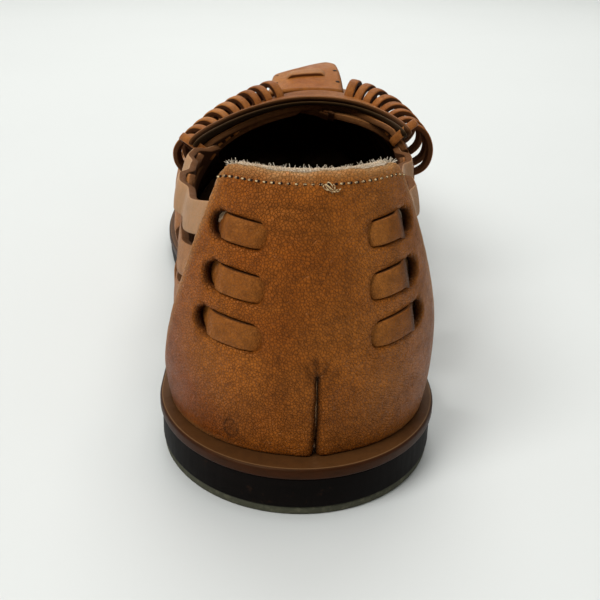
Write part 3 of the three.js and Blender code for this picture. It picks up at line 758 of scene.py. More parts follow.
# How pale each side strap is, from the grain's tan at 0 to cream at 1: the straps' own lighter tones, with
# painted light added where the lamp falls strongly, most on the top outer strap
PALE_FORWARD = [0.45, 0.16, 0.08]
PALE_CROSSING = [0.12, 0.05, 0.16, 0.03]
VAMP_FROM = 160
VAMP_PACE = 18
SIDE_WIDE = 7.6
SLANT = 0.72
VAMP_WIDE = 13.8
VAMP_SHORTEST = 22
CROSSING_WIDE = 9.0
INNER_PALE = 0.35
TOE_FROM = 0.84
TOE_WIDE = 12
TOE_STRAPS = (0.85, 0.60)
MARGIN_WIDE = 4.5
MARGIN_THICK = 1.2
STRAP_PACE = 1.5
# Crossed straps: how near they come, the share of the lower one that stays fully covered, and the ramps
MEET = 1.6
COVERED = 0.84
SIDE_RAMP = 8.5
VAMP_RAMP = 4.8


def laced_stops(side, row):
    """A strap from inside the heel out over the counter and in again."""
    places = [
        (row["from"] - 0.022, INSIDE),
        (row["from"] - 0.012, INSIDE),
        (row["from"] - 0.002, 1.9),
        (row["from"] + 0.007, TAB_OFF - 0.25),
        (row["from"] + 0.014, TAB_OFF),
        ((row["from"] + row["to"]) / 2, TAB_OFF + 0.15),
        (row["to"] - 0.008, TAB_OFF),
        (row["to"] - 0.0015, 2.1),
        (row["to"] + 0.005, 0.6),
        (row["to"] + 0.014, INSIDE),
    ]
    return [(share + side * SEAM, side * (1 - row_t(row, share)), off) for share, off in places]


def side_straps():
    """Paths of the laced and crossing straps of both sides."""
    straps = []
    for side in (-1, 1):
        for k, (row, spots) in enumerate(zip(ROWS, FORWARD)):
            stops = laced_stops(side, row)
            stops += [(share_at(s["y"]), side * (1 - s["t"]), INSIDE) for s in spots]
            path = smooth_path(stops, STRAP_PACE)
            ahead = step(row["to"] + 0.004, row["to"] + 0.02, path[:, 0])
            spread = step(row["to"] + 0.001, row["to"] + 0.008, path[:, 0])
            shade = step(row["to"] - 0.002, row["to"] + 0.001, path[:, 0]) * (1 - ahead)
            pale = PALE_FORWARD[k] if side < 0 else INNER_PALE
            straps.append({"path": path, "wide": mix(row["wide"], SIDE_WIDE, spread), "rank": k,
                           "shade": shade, "pale": ahead * pale, "side": side, "laced": True})
        for k, spots in enumerate(CROSSING):
            stops = [(share_at(s["y"]), side * (1 - s["t"]), INSIDE) for s in spots]
            straps.append({"path": smooth_path(stops, STRAP_PACE), "wide": CROSSING_WIDE, "rank": k + 1,
                           "pale": PALE_CROSSING[k], "side": side, "laced": False})
    return straps


def vamp_straps():
    """Paths of the two families of straps that weave the forefoot, each down to the sole at both ends."""
    straps = []
    rows = np.arange(VAMP_FROM, SOLE_LENGTH + 10, VAMP_PACE)
    for k, y in enumerate(rows):
        for way in (-1, 1):
            x = np.arange(-60, 60.1, STRAP_PACE)
            share, w, reach = over(x, y + way * SLANT * (x - 5))
            keep = reach < 0.9
            if keep.sum() < VAMP_SHORTEST:
                continue
            share, w = share[keep], w[keep]
            low = INSIDE if way < 0 else INSIDE + 0.5
            down = np.linspace(0, 1, 9)[1:]
            ends = []
            for at, near in ((0, 6), (-1, -7)):
                drift = (share[at] - share[near]) * 1.1
                foot = np.sign(w[at]) * mix(np.abs(w[at]), 1.0, down)
                ends.append((np.clip(share[at] + drift * down, 0.3, 1.0), foot))
            share = np.concatenate([ends[0][0][::-1], share, ends[1][0]])
            w = np.concatenate([ends[0][1][::-1], w, ends[1][1]])
            path = smooth_path(np.stack([share, w, np.full(len(w), low)], -1), STRAP_PACE)
            straps.append({"path": path, "wide": VAMP_WIDE, "rank": k + (way > 0), "pale": 0.12,
                           "side": 0, "way": way, "laced": False})
    return straps


def weave(straps):
    """Lift each strap over those that it crosses by turns, and leave it flat where it goes under."""
    spines = [last(s["path"][:, 0], s["path"][:, 1]) for s in straps]
    lifts = [np.zeros(len(spine)) for spine in spines]
    for i, a in enumerate(straps):
        for j in range(i + 1, len(straps)):
            b = straps[j]
            if a["side"] * b["side"] < 0 or a.get("way", 0) * b.get("way", 0) > 0:
                continue
            gaps = np.linalg.norm(spines[i][:, None] - spines[j][None], axis=-1)
            p, q = np.unravel_index(gaps.argmin(), gaps.shape)
            inner = 2 < p < len(gaps) - 3 or 2 < q < gaps.shape[1] - 3
            if gaps[p, q] > MEET or not inner:
                continue
            upper, at, lower = (i, p, b) if (a["rank"] + b["rank"]) % 2 == 0 else (j, q, a)
            place = runs(spines[upper])
            away = np.abs(place - place[at])
            hold = np.max(lower["wide"]) / 2 * COVERED
            ramp = SIDE_RAMP if a["side"] else VAMP_RAMP
            lifts[upper] = np.maximum(lifts[upper], 1 - step(hold, hold + ramp, away))
    for strap, up in zip(straps, lifts):
        free = 1.0
        if strap["laced"]:
            free = step(0.10, 0.13, strap["path"][:, 0])
        strap["path"][:, 2] += (WALL + 0.12) * up * free
    return straps


def toe_strap(side, place):
    """A strap round one side of the toe, that closes the gap between the last crossings."""
    share = np.linspace(TOE_FROM, 1.0, 40)
    path = np.stack([share, np.full(40, side * place), np.full(40, INSIDE + 0.8)], -1)
    return lay_strap(path, TOE_WIDE, WALL, pale=0.1)


def lasting_margin(side):
    """The low margin inside, that all the straps are sewn to."""
    share = np.linspace(0.0, 1.0, 150)
    path = np.stack([share, np.full(150, side * 0.965), np.full(150, 0.1)], -1)
    return lay_strap(path, MARGIN_WIDE, MARGIN_THICK, pale=0.4)


# ---- throat band, plug and loops ----

# Rear edge of the band across the instep, from the outer to the inner end
BAND = [
    {"w": -0.455, "y": 110},
    {"w": -0.24, "y": 130},
    {"w": 0.0, "y": 143},
    {"w": 0.19, "y": 137},
    {"w": 0.355, "y": 115},
]
BAND_WIDE = 15.0
BAND_THICK = 3.0
WOVEN = 4.2
BAND_OFF = WOVEN + 0.4
LINING = 1.25
PLUG = {"from": 159.5, "to": 185, "rear": 11.5, "front": 9.5, "thick": 2.6, "x": 5, "rise": 4.5, "lean": 2.2}
LOOPS = [
    {"side": -1, "count": 9, "first": 0.105, "last": 0.425},
    {"side": 1, "count": 8, "first": 0.110, "last": 0.325},
]
LOOP_REACH = 11.0
LOOP_WIDE = 2.9
LOOP_THICK = 1.7
# A loop's arch, from its slot in the band to its foot in the vamp: run forward and height over the last
LOOP_SHAPE = [
    {"run": 0.00, "off": 1.8},
    {"run": -0.02, "off": 6.2},
    {"run": 0.06, "off": 9.6},
    {"run": 0.26, "off": 11.6},
    {"run": 0.56, "off": 11.4},
    {"run": 0.84, "off": 9.0},
    {"run": 0.98, "off": 5.4},
    {"run": 1.00, "off": 1.6},
]


def band_y(w):
    return read([{"y": spot["w"], "at": spot["y"]} for spot in BAND], "at", w)


def grid_sheet(columns, rows, place, thick, marks):
    """A sheet with rounded edges from a function of two shares and a height over its lower face."""
    a, b = np.meshgrid(np.linspace(0, 1, columns), np.linspace(0, 1, rows), indexing="ij")
    low, high = place(a, b, 0 * a), place(a, b, 0 * a + thick)
    rim = np.concatenate([
        [(i, 0) for i in range(columns)],
        [(columns - 1, j) for j in range(1, rows)],
        [(i, rows - 1) for i in range(columns - 2, -1, -1)],
        [(0, j) for j in range(rows - 2, 0, -1)],
    ])
    centre = (low + high) / 2
    i, j = rim.T
    inner = centre[np.clip(i, 2, columns - 3), np.clip(j, 2, rows - 3)]
    push = unit(centre[i, j] - inner) * thick * 0.32
    middle = centre[i, j] + push
    count = columns * rows
    points = np.concatenate([low.reshape(-1, 3), high.reshape(-1, 3), middle])
    quads = net(columns, rows)
    faces = quads.tolist() + (quads[:, ::-1] + count).tolist()
    turn = len(rim)
    for m in range(turn):
        n = (m + 1) % turn
        u, v = i[m] * rows + j[m], i[n] * rows + j[n]
        faces.append([u, v, 2 * count + n, 2 * count + m])
        faces.append([2 * count + m, 2 * count + n, count + v, count + u])
    face = np.concatenate([np.full(count, FLESH), np.full(count, GRAIN), np.full(turn, CUT)])
    near = np.minimum(np.minimum(b, 1 - b) * marks["wide"], np.minimum(a, 1 - a) * marks["long"])
    rim_mark = 1 - np.clip(near / 1.6, 0, 1)
    rim_all = np.concatenate([rim_mark.ravel() * 0.6, rim_mark.ravel(), np.ones(turn)])
    return points, faces, {"face": face, "rim": rim_all}


def band_place(a, b, height, grow=0.0, low=0.0, thick=1.0):
    """The band's surface: a across the instep, b from its rear to its front edge."""
    w = mix(BAND[0]["w"], BAND[-1]["w"], a)
    end = np.clip(np.abs(a * 2 - 1) * 9 - 8, 0, 1)
    wide = (BAND_WIDE + 2 * grow) * (0.35 + 0.65 * np.sqrt(np.maximum(1 - end ** 2, 0)))
    y = band_y(w) + BAND_WIDE / 2 + wide * (b - 0.5)
    edge = np.clip(1 - np.minimum(b, 1 - b) * BAND_WIDE / 1.6, 0, 1)
    round_off = np.where(height > thick / 2, -0.38, 0.10) * edge ** 2
    roll = 0.7 * np.clip(1 - b * BAND_WIDE / 3.2, 0, 1) ** 2
    return on_last(share_at(y), w, BAND_OFF + low + height + round_off + roll)


def plug_place(a, b, height):
    y = mix(PLUG["from"], PLUG["to"], b)
    half = mix(PLUG["rear"], PLUG["front"], b) * (1 - 0.16 * np.clip(b * 8 - 7, 0, 1) ** 2)
    share, w, _ = over(PLUG["x"] + half * (a * 2 - 1), y)
    x = half * (a * 2 - 1)
    edge = np.clip(1 - (half - np.abs(x)) / 1.3, 0, 1)
    pad = 0.5 * np.exp(-((y - 170.3) / 3.2) ** 2 - (x / 6.6) ** 4)
    round_off = np.where(height > 1, -0.35 * edge ** 2 + pad, 0)
    lean = PLUG["lean"] * b * (a * 2 - 1)
    return on_last(share, w, BAND_OFF + 0.6 + PLUG["rise"] * b + lean + height + round_off)


def plug_spot(x, y, height):
    """A place on the plug, millimetres to the inner side and along the shoe, over its lower face."""
    b = (y - PLUG["from"]) / (PLUG["to"] - PLUG["from"])
    share, w, _ = over(PLUG["x"] + np.asarray(x, float), np.asarray(y, float))
    lean = PLUG["lean"] * b * np.asarray(x, float) / mix(PLUG["rear"], PLUG["front"], b)
    return on_last(share, w, BAND_OFF + 0.6 + PLUG["rise"] * b + lean + height)


def plug_strap():
    """The short strap drawn through two slits of the plug."""
    x = np.linspace(-6.8, 6.8, 40)
    rise = PLUG["thick"] + 0.65 - 2.6 * (np.clip(np.abs(x) - 4.1, 0, 3) / 2.2) ** 2
    spine = plug_spot(x, 170.3 + 0 * x, rise)
    side = plug_spot(x, 171.3 + 0 * x, rise) - spine
    return free_strap(spine, side, 4.4, 1.6, pale=0.1)


def loop_spine(w, wobble):
    """Middle line of one loop and its width direction, square to the band's edge."""
    def edge(v):
        return share_at(band_y(v) + BAND_WIDE * 0.72), v

    e0, e1 = edge(np.array(w - 0.01)), edge(np.array(w + 0.01))
    side = unit(last(*e1) - last(*e0))
    share, v = edge(np.array(float(w)))
    track = [(share, v)]
    for _ in range(6):
        ahead = unit(np.cross(outward(share, v), side)) * LOOP_REACH / 6
        ds, dw = glide(share, v, ahead)
        share, v = share + ds, v + dw
        track.append((share, v))
    track = np.array(track, float)
    rows = [{"y": k / 6, "s": s, "w": v} for k, (s, v) in enumerate(track)]
    places = np.arange(len(LOOP_SHAPE), dtype=float)
    shape = [{"y": place, "run": row["run"], "off": row["off"]} for place, row in zip(places, LOOP_SHAPE)]
    fine = np.linspace(0, places[-1], 44)
    run, off = read(shape, "run", fine), read(shape, "off", fine)
    back = np.minimum(run, 0) * LOOP_REACH / 290
    shares = read(rows, "s", run) + back
    spine = on_last(shares, read(rows, "w", run), off + wobble * np.sin(fine * 0.9))
    return spine, np.broadcast_to(-side, spine.shape)


def loop_straps():
    rng = np.random.default_rng(11)
    parts = []
    for group in LOOPS:
        for i in range(group["count"]):
            w = group["side"] * mix(group["first"], group["last"], i / (group["count"] - 1))
            wobble, lean, wider = rng.uniform(-1, 1, 4)[:3]
            spine, side = loop_spine(w, 0.35 * wobble)
            side = side + unit(np.gradient(spine, axis=0)) * 0.28 * lean
            parts.append(free_strap(spine, side, LOOP_WIDE + 0.2 * wider, LOOP_THICK, pale=0.0))
    return parts


def end_rings():
    """A last turn of lace at each end of the band, round the band and the top side strap."""
    parts = []
    for w, y, size in ((-0.445, 119.0, 5.0), (0.335, 124.0, 4.2)):
        share = share_at(y)
        centre = on_last(np.array(share), np.array(w), 6.0)
        out = outward(np.array(share), np.array(w))
        along, _ = slopes(np.array(share), np.array(w))
        front = unit(along - out * np.sum(along * out))
        turn = np.linspace(0, 2 * np.pi, 46)[:-1]
        side = np.cross(front, out)
        ring = centre + size * (np.cos(turn)[:, None] * front * 0.92 + np.sin(turn)[:, None] * out * 1.05)
        ring = np.concatenate([ring, ring[:2]]) + side * np.linspace(-0.9, 0.9, 47)[:, None]
        parts.append(free_strap(ring, np.broadcast_to(side, ring.shape), 2.6, 1.6, pale=0.0))
    return parts


# ---- lining, thread and fibres ----

STITCH_DROP = 2.6


def top_line(y_drop, off, ends=0.96, count=160):
    """A line along the counter's top edge, on its grain side or over it."""
    front = float(counter_front(np.array(COUNTER_TOP - 0.03))) * AROUND * ends
    x = np.linspace(-front, front, count)
    droop = 0.7 * np.clip((np.abs(x) - front + 5) / 5, 0, 1) ** 2
    return on_counter(x, COUNTER_TOP * UPWARD - y_drop - droop, off)


def lining_strip():
    """Suede collar lining inside the counter's top edge, standing a little above it."""
    front = float(counter_front(np.array(COUNTER_TOP - 0.02))) * AROUND * 0.985
    rng = np.random.default_rng(3)
    rough = rng.uniform(-0.12, 0.12, 240)

    def place(a, b, height):
        x = mix(-front, front, a)
        droop = 1.5 * np.clip((np.abs(x) - front + 5) / 5, 0, 1) ** 2
        top = COUNTER_TOP * UPWARD + 0.45 - droop + rough[np.clip((a * 239).astype(int), 0, 239)]
        return on_counter(x, mix(top - 11, top, b), 1.55 + height)

    return grid_sheet(240, 14, place, 1.3, {"wide": 11, "long": 100})


def torn_thread():
    """The loose thread end at the middle of the stitch row."""
    strands = [
        [(0.6, 2.5, 0.3), (1.6, 3.0, 0.8), (3.0, 4.0, 0.9), (4.6, 4.6, 0.6), (6.2, 4.3, 0.9)],
        [(0.4, 2.7, 0.3), (1.3, 3.9, 0.9), (2.8, 4.8, 0.6), (4.6, 5.0, 1.0), (6.8, 4.9, 0.5)],
        [(1.0, 2.6, 0.3), (1.8, 1.9, 0.8), (3.0, 2.6, 1.0), (3.9, 3.8, 0.7)],
        [(4.2, 2.6, 0.3), (4.8, 3.4, 0.8), (4.4, 4.4, 0.9), (5.8, 5.0, 0.6), (7.6, 4.0, 0.8)],
        [(1.2, 2.9, 0.3), (2.2, 3.7, 0.7), (3.6, 5.4, 0.6)],
        [(0.2, 2.6, 0.3), (-0.6, 3.3, 0.7), (0.6, 4.2, 0.5), (2.0, 4.4, 0.8)],
    ]
    parts = []
    for strand in strands:
        values = np.array(strand)
        lengths = runs(values)
        rows = [{"y": s, "x": v[0], "d": v[1], "o": v[2]} for s, v in zip(lengths, values)]
        s = np.linspace(0, lengths[-1], 26)
        off = COUNTER_OFF + COUNTER + read(rows, "o", s) * 0.7
        across = 1.2 + read(rows, "x", s) * 0.55
        spine = on_counter(across, COUNTER_TOP * UPWARD - 1.1 - read(rows, "d", s) * 0.6, off)
        parts.append(cord_mesh(spine, 0.11))
    return parts


def path_piece(name, lines, outs):
    """Lines as loose edges, each point with the direction out of the leather."""
    points = np.concatenate(lines)
    edges, start = [], 0
    for line in lines:
        edges.extend((start + i, start + i + 1) for i in range(len(line) - 1))
        start += len(line)
    mesh = bpy.data.meshes.new(name)
    mesh.from_pydata(to_frame(points).tolist(), edges, [])
    layer = mesh.attributes.new("out", "FLOAT_VECTOR", "POINT")
    layer.data.foreach_set("vector", np.concatenate(outs).astype(np.float32).ravel())
    piece = bpy.data.objects.new(name, mesh)
    bpy.context.scene.collection.objects.link(piece)
    return piece


# ---- node trees ----

def add(tree, kind, inputs=None, **settings):
    """A node with its settings, its inputs set or linked by name or place."""
    node = tree.nodes.new(kind)
    for key, value in settings.items():
        setattr(node, key, value)
    for key, value in (inputs or {}).items():
        if isinstance(key, int):
            socket = node.inputs[key]
        else:
            socket = next(s for s in node.inputs if s.enabled and s.name == key)
        if isinstance(value, bpy.types.Node):
            value = next(s for s in value.outputs if s.enabled)
        if isinstance(value, bpy.types.NodeSocket):
            tree.links.new(value, socket)
        else:
            socket.default_value = value
    return node


def new_shape_tree(name, sizes):
    """A Geometry Nodes tree with a geometry, a material and the named sizes as its inputs."""
    tree = bpy.data.node_groups.new(name, "GeometryNodeTree")
    tree.interface.new_socket("Geometry", in_out="INPUT", socket_type="NodeSocketGeometry")
    tree.interface.new_socket("Material", in_out="INPUT", socket_type="NodeSocketMaterial")
    for key, value in sizes.items():
        kind = "NodeSocketInt" if isinstance(value, int) else "NodeSocketFloat"
        tree.interface.new_socket(key, in_out="INPUT", socket_type=kind).default_value = value
    tree.interface.new_socket("Geometry", in_out="OUTPUT", socket_type="NodeSocketGeometry")
    return tree, tree.nodes.new("NodeGroupInput").outputs


def close_shape_tree(tree, shape, source):
    real = add(tree, "GeometryNodeRealizeInstances", {"Geometry": shape})
    done = add(tree, "GeometryNodeSetMaterial", {"Geometry": real, "Material": source["Material"]})
    add(tree, "NodeGroupOutput", {"Geometry": done})
    return tree


def stitch_tree():
    """Stitches along the edges of a mesh: long rounded grains of thread lying on the leather."""
    sizes = {"Pitch": 0.0038, "Length": 0.0029, "Radius": 0.0004, "Rise": 0.0001, "Seed": 5}
    tree, source = new_shape_tree("stitch_row", sizes)
    curve = add(tree, "GeometryNodeMeshToCurve", {"Mesh": source["Geometry"]})
    even = add(tree, "GeometryNodeResampleCurve", {"Curve": curve, "Length": source["Pitch"]}, mode="LENGTH")
    out = add(tree, "GeometryNodeInputNamedAttribute", {"Name": "out"}, data_type="FLOAT_VECTOR")
    raised = add(tree, "ShaderNodeVectorMath", {0: out, "Scale": source["Rise"]}, operation="SCALE")
    placed = add(tree, "GeometryNodeSetPosition", {"Geometry": even, "Offset": raised})
    along = add(tree, "FunctionNodeAlignRotationToVector",
                {"Vector": add(tree, "GeometryNodeInputTangent")}, axis="X")
    upright = add(tree, "FunctionNodeAlignRotationToVector", {"Rotation": along, "Vector": out},
                  axis="Z", pivot_axis="X")
    grain = add(tree, "GeometryNodeMeshUVSphere", {"Segments": 8, "Rings": 5, "Radius": 1.0})
    half = add(tree, "ShaderNodeMath", {0: source["Length"], 1: 0.5}, operation="MULTIPLY")
    size = add(tree, "ShaderNodeCombineXYZ", {"X": half, "Y": source["Radius"], "Z": source["Radius"]})
    stitch = add(tree, "GeometryNodeTransform", {"Geometry": grain, "Scale": size})
    vary = add(tree, "FunctionNodeRandomValue", {"Min": 0.82, "Max": 1.08, "Seed": source["Seed"]},
               data_type="FLOAT")
    row = add(tree, "GeometryNodeInstanceOnPoints",
              {"Points": placed, "Instance": stitch, "Rotation": upright, "Scale": vary})
    return close_shape_tree(tree, row, source)


def fibre_tree():
    """Loose fibres standing on a raw leather edge, each a thin bent hair."""
    sizes = {"Density": 3.0e6, "Length": 0.0012, "Radius": 0.00005, "Seed": 9}
    tree, source = new_shape_tree("loose_fibres", sizes)
    spread = add(tree, "GeometryNodeDistributePointsOnFaces",
                 {"Mesh": source["Geometry"], "Density": source["Density"], "Seed": source["Seed"]},
                 distribute_method="RANDOM")
    bend = add(tree, "GeometryNodeCurveQuadraticBezier",
               {"Resolution": 3, "Start": (0, 0, 0), "Middle": (0.25, 0.05, 0.6), "End": (0.75, 0.2, 0.9)})
    scaled = add(tree, "GeometryNodeTransform",
                 {"Geometry": bend, "Scale": add(tree, "ShaderNodeCombineXYZ",
                  {"X": source["Length"], "Y": source["Length"], "Z": source["Length"]})})
    hair = add(tree, "GeometryNodeCurvePrimitiveCircle", {"Resolution": 3, "Radius": source["Radius"]})
    tube = add(tree, "GeometryNodeCurveToMesh", {"Curve": scaled, "Profile Curve": hair})
    spin = add(tree, "FunctionNodeRandomValue",
               {0: (-0.7, -0.7, 0.0), 1: (0.7, 0.7, 6.28), "Seed": source["Seed"]},
               data_type="FLOAT_VECTOR")
    vary = add(tree, "FunctionNodeRandomValue", {"Min": 0.3, "Max": 1.35, "Seed": source["Seed"]},
               data_type="FLOAT")
    hairs = add(tree, "GeometryNodeInstanceOnPoints",
                {"Points": spread, "Instance": tube, "Rotation": spin, "Scale": vary})
    return close_shape_tree(tree, hairs, source)


def grow(piece, tree, name, material, **sizes):
    """Run a tree on a piece, keep the result as a plain mesh under the name, and drop the piece."""
    modifier = piece.modifiers.new("shape", "NODES")
    modifier.node_group = tree
    sockets = {s.name: s.identifier for s in tree.interface.items_tree if s.in_out == "INPUT"}
    modifier[sockets["Material"]] = material
    for key, value in sizes.items():
        modifier[sockets[key.capitalize()]] = value
    piece.update_tag()
    graph = bpy.context.evaluated_depsgraph_get()
    graph.update()
    mesh = bpy.data.meshes.new_from_object(piece.evaluated_get(graph))
    mesh.name = name
    bpy.data.objects.remove(piece)
    result = bpy.data.objects.new(name, mesh)
    bpy.context.scene.collection.objects.link(result)
    mesh.polygons.foreach_set("use_smooth", [True] * len(mesh.polygons))
    return result


# ---- materials ----

def ink(code):
    """An sRGB hex colour as linear red, green, blue and alpha."""
    parts = [int(code[k:k + 2], 16) / 255 for k in (0, 2, 4)]
    return tuple(c / 12.92 if c <= 0.04045 else ((c + 0.055) / 1.055) ** 2.4 for c in parts) + (1.0,)


# Waxed leather gives back a warm light
WARM = (1.0, 0.66, 0.36, 1.0)


def begin_material(name):
    material = bpy.data.materials.new(name)
    material.use_nodes = True
    tree = material.node_tree
    tree.nodes.clear()
    place = add(tree, "ShaderNodeTexCoord").outputs["Object"]
    return material, tree, place


def end_material(material, tree, colour, rough, bump, **fixed):
    shader = add(tree, "ShaderNodeBsdfPrincipled", {"Base Color": colour, "Roughness": rough, "Normal": bump})
    for key, value in fixed.items():
        shader.inputs[key.replace("_", " ")].default_value = value
    add(tree, "ShaderNodeOutputMaterial", {"Surface": shader})
    return material


def pattern(tree, place, size_mm, detail=3.0, rough=0.55, stretch=(1, 1, 1)):
    """Noise whose blotches are about the given millimetres across."""
    spot = add(tree, "ShaderNodeMapping", {"Vector": place, "Scale": stretch})
    return add(tree, "ShaderNodeTexNoise",
               {"Vector": spot, "Scale": 1000 / size_mm / 2, "Detail": detail, "Roughness": rough})


def leather(name, hues, grain_mm=0.75, rough=(0.40, 0.58), bump=0.35, pale="d8bd97", cut="a87a4e",
            flesh="8a6a4a", cloud_mm=26.0, specular=0.22, burnish=0.5):
    """Tanned cowhide: clouded colour, fine cells with pores between them, raw cut edges, napped flesh."""
    dark, body, light = (ink(hue) for hue in hues)
    material, tree, place = begin_material(name)
    cloud = add(tree, "ShaderNodeMapRange",
                {"Value": pattern(tree, place, cloud_mm, 4.0), "From Min": 0.36, "From Max": 0.64})
    blotch = add(tree, "ShaderNodeMapRange",
                 {"Value": pattern(tree, place, 5.5, 6.0, 0.66), "From Min": 0.38, "From Max": 0.66})
    tint = add(tree, "ShaderNodeMix", {0: cloud, 6: body, 7: light}, data_type="RGBA")
    deep = add(tree, "ShaderNodeMath", {0: blotch, 1: 0.34}, operation="MULTIPLY")
    tint = add(tree, "ShaderNodeMix", {0: deep, 6: tint, 7: dark}, data_type="RGBA")
    cells = add(tree, "ShaderNodeTexVoronoi", {"Vector": place, "Scale": 1000 / grain_mm},
                feature="DISTANCE_TO_EDGE")
    pore = add(tree, "ShaderNodeMapRange", {"Value": cells, "From Min": 0.0, "From Max": 0.13})
    fleck = pattern(tree, place, 0.8, 4.0, 0.72)
    spot = add(tree, "ShaderNodeMapRange", {"Value": fleck, "From Min": 0.42, "From Max": 0.60})
    spot = add(tree, "ShaderNodeMath", {0: spot, 1: 0.32}, operation="MULTIPLY")
    tint = add(tree, "ShaderNodeMix", {0: spot, 6: tint, 7: dark}, data_type="RGBA")
    vein = add(tree, "ShaderNodeMath", {0: pore, 1: -0.22, 2: 0.22}, operation="MULTIPLY_ADD")
    tint = add(tree, "ShaderNodeMix", {0: vein, 6: tint, 7: dark}, data_type="RGBA")
    scratch = pattern(tree, place, 1.0, 2.0, 0.5, (0.08, 0.5, 1.6))
    scar = add(tree, "ShaderNodeMapRange",
               {"Value": scratch, "From Min": 0.69, "From Max": 0.76, "To Max": 0.35})
    tint = add(tree, "ShaderNodeMix", {0: scar, 6: tint, 7: light}, data_type="RGBA")

    def mark(key):
        return add(tree, "ShaderNodeAttribute", attribute_name=key).outputs["Fac"]

    # Darkens by the stain mark: real stains and marks, and painted shade in creases, grooves, slots, along
    # low edges and where the laced straps dive into their slots
    stain = add(tree, "ShaderNodeMath", {0: mark("stain"), 1: 0.85}, operation="MULTIPLY", use_clamp=True)
    tint = add(tree, "ShaderNodeMix", {0: stain, 6: tint, 7: ink("2c1408")}, data_type="RGBA")
    glow = add(tree, "ShaderNodeMath", {0: mark("stain"), 1: -0.6}, operation="MULTIPLY", use_clamp=True)
    tint = add(tree, "ShaderNodeMix", {0: glow, 6: tint, 7: light}, data_type="RGBA")
    # Paler towards cream by the pale mark: the straps' own lighter tones, with painted light on the side
    # straps
    tint = add(tree, "ShaderNodeMix", {0: mark("pale"), 6: tint, 7: ink(pale)}, data_type="RGBA")
    worn = add(tree, "ShaderNodeMath", {0: mark("rim"), 1: burnish}, operation="MULTIPLY")
    worn = add(tree, "ShaderNodeMath", {0: worn, 1: fleck}, operation="MULTIPLY", use_clamp=True)
    tint = add(tree, "ShaderNodeMix", {0: worn, 6: tint, 7: ink(cut)}, data_type="RGBA")
    face = mark("face")
    nap = pattern(tree, place, 0.7, 4.0, 0.7)
    raw = add(tree, "ShaderNodeMix", {0: nap, 6: ink(cut), 7: dark}, data_type="RGBA")
    back = add(tree, "ShaderNodeMix", {0: nap, 6: ink(flesh), 7: dark}, data_type="RGBA")
    is_raw = add(tree, "ShaderNodeMapRange", {"Value": face, "From Min": 0.45, "From Max": 0.75})
    is_back = add(tree, "ShaderNodeMapRange", {"Value": face, "From Min": 1.35, "From Max": 1.65})
    tint = add(tree, "ShaderNodeMix", {0: is_raw, 6: tint, 7: raw}, data_type="RGBA")
    tint = add(tree, "ShaderNodeMix", {0: is_back, 6: tint, 7: back}, data_type="RGBA")
    gloss = add(tree, "ShaderNodeMapRange", {"Value": blotch, "To Min": rough[0], "To Max": rough[1]})
    gloss = add(tree, "ShaderNodeMath", {0: is_raw, 1: 0.3, 2: gloss},
                operation="MULTIPLY_ADD", use_clamp=True)
    height = add(tree, "ShaderNodeMath", {0: fleck, 1: 0.9, 2: pore}, operation="MULTIPLY_ADD")
    height = add(tree, "ShaderNodeMath", {0: blotch, 1: 0.8, 2: height}, operation="MULTIPLY_ADD")
    relief = add(tree, "ShaderNodeBump", {"Strength": bump, "Distance": 0.0004, "Height": height})
    return end_material(material, tree, tint, gloss, relief, Specular_IOR_Level=specular, Specular_Tint=WARM)


def counter_leather():
    """Vegetable-tanned hide, oiled and burnished: warm caramel, clouded, fine cells, soft shine."""
    return leather("vegetable_tanned_counter_hide", ("3e1c08", "90470d", "b06826"), grain_mm=0.66, bump=0.75,
                   rough=(0.36, 0.54), cut="c99a62", flesh="8f6c48", burnish=0.9)


def strap_leather():
    """The same hide split into straps: tan grain, paler on some stretches, partly as painted light; cut side
    dark, and flesh side near black, darkened to stand in for the shade inside the shoe.
    """
    return leather("split_strap_hide", ("46230c", "8a4d1a", "a8682c"), grain_mm=0.7, bump=0.45,
                   rough=(0.44, 0.62), cut="6f4828", flesh="2e1d12", pale="c4a27c", cloud_mm=14)


def lace_leather():
    """Narrow lace cut from the hide and dyed through: tan faces, dark burnished edges."""
    return leather("dyed_lace_hide", ("4a2410", "8f5122", "b57438"), grain_mm=0.6, bump=0.35,
                   rough=(0.38, 0.55), cut="3f2512", flesh="2e1c10", cloud_mm=9)


def band_leather():
    """Two plies sewn back to back: tan grain over an olive-brown lining, edges darkened by wear."""
    return leather("two_ply_band_hide", ("42200a", "84491a", "a3642a"), grain_mm=0.7, bump=0.4,
                   rough=(0.40, 0.58), cut="5a3a1e", flesh="2d2014", burnish=0.7, cloud_mm=12)


def lining_leather():
    """Napped suede lining, greyed by wear: soft, matt and without shine."""
    return leather("napped_suede_lining", ("8a6c50", "b79a7a", "d3bda0"), grain_mm=0.6, bump=0.6,
                   rough=(0.86, 0.95), cut="d9c4a8", flesh="a58a6a", specular=0.15, cloud_mm=8)


def band_lining():
    """Thin smooth lining hide, dark olive from dye and wear, with a dull shine along the roll."""
    return leather("olive_lining_hide", ("2a1c0e", "4c351c", "634626"), grain_mm=0.6, bump=0.25,
                   rough=(0.42, 0.6), cut="2a1d10", flesh="1a120b", cloud_mm=10)


def bed_leather():
    """Sock leather, dull brown from wear and painted darker still as the shade inside the shoe: smooth,
    clouded by wear.
    """
    return leather("sock_leather_with_painted_shade", ("2a1a0f", "5a3d24", "70502f"), grain_mm=0.9, bump=0.3,
                   rough=(0.55, 0.72), cut="4a321e", flesh="3a281a", cloud_mm=34)


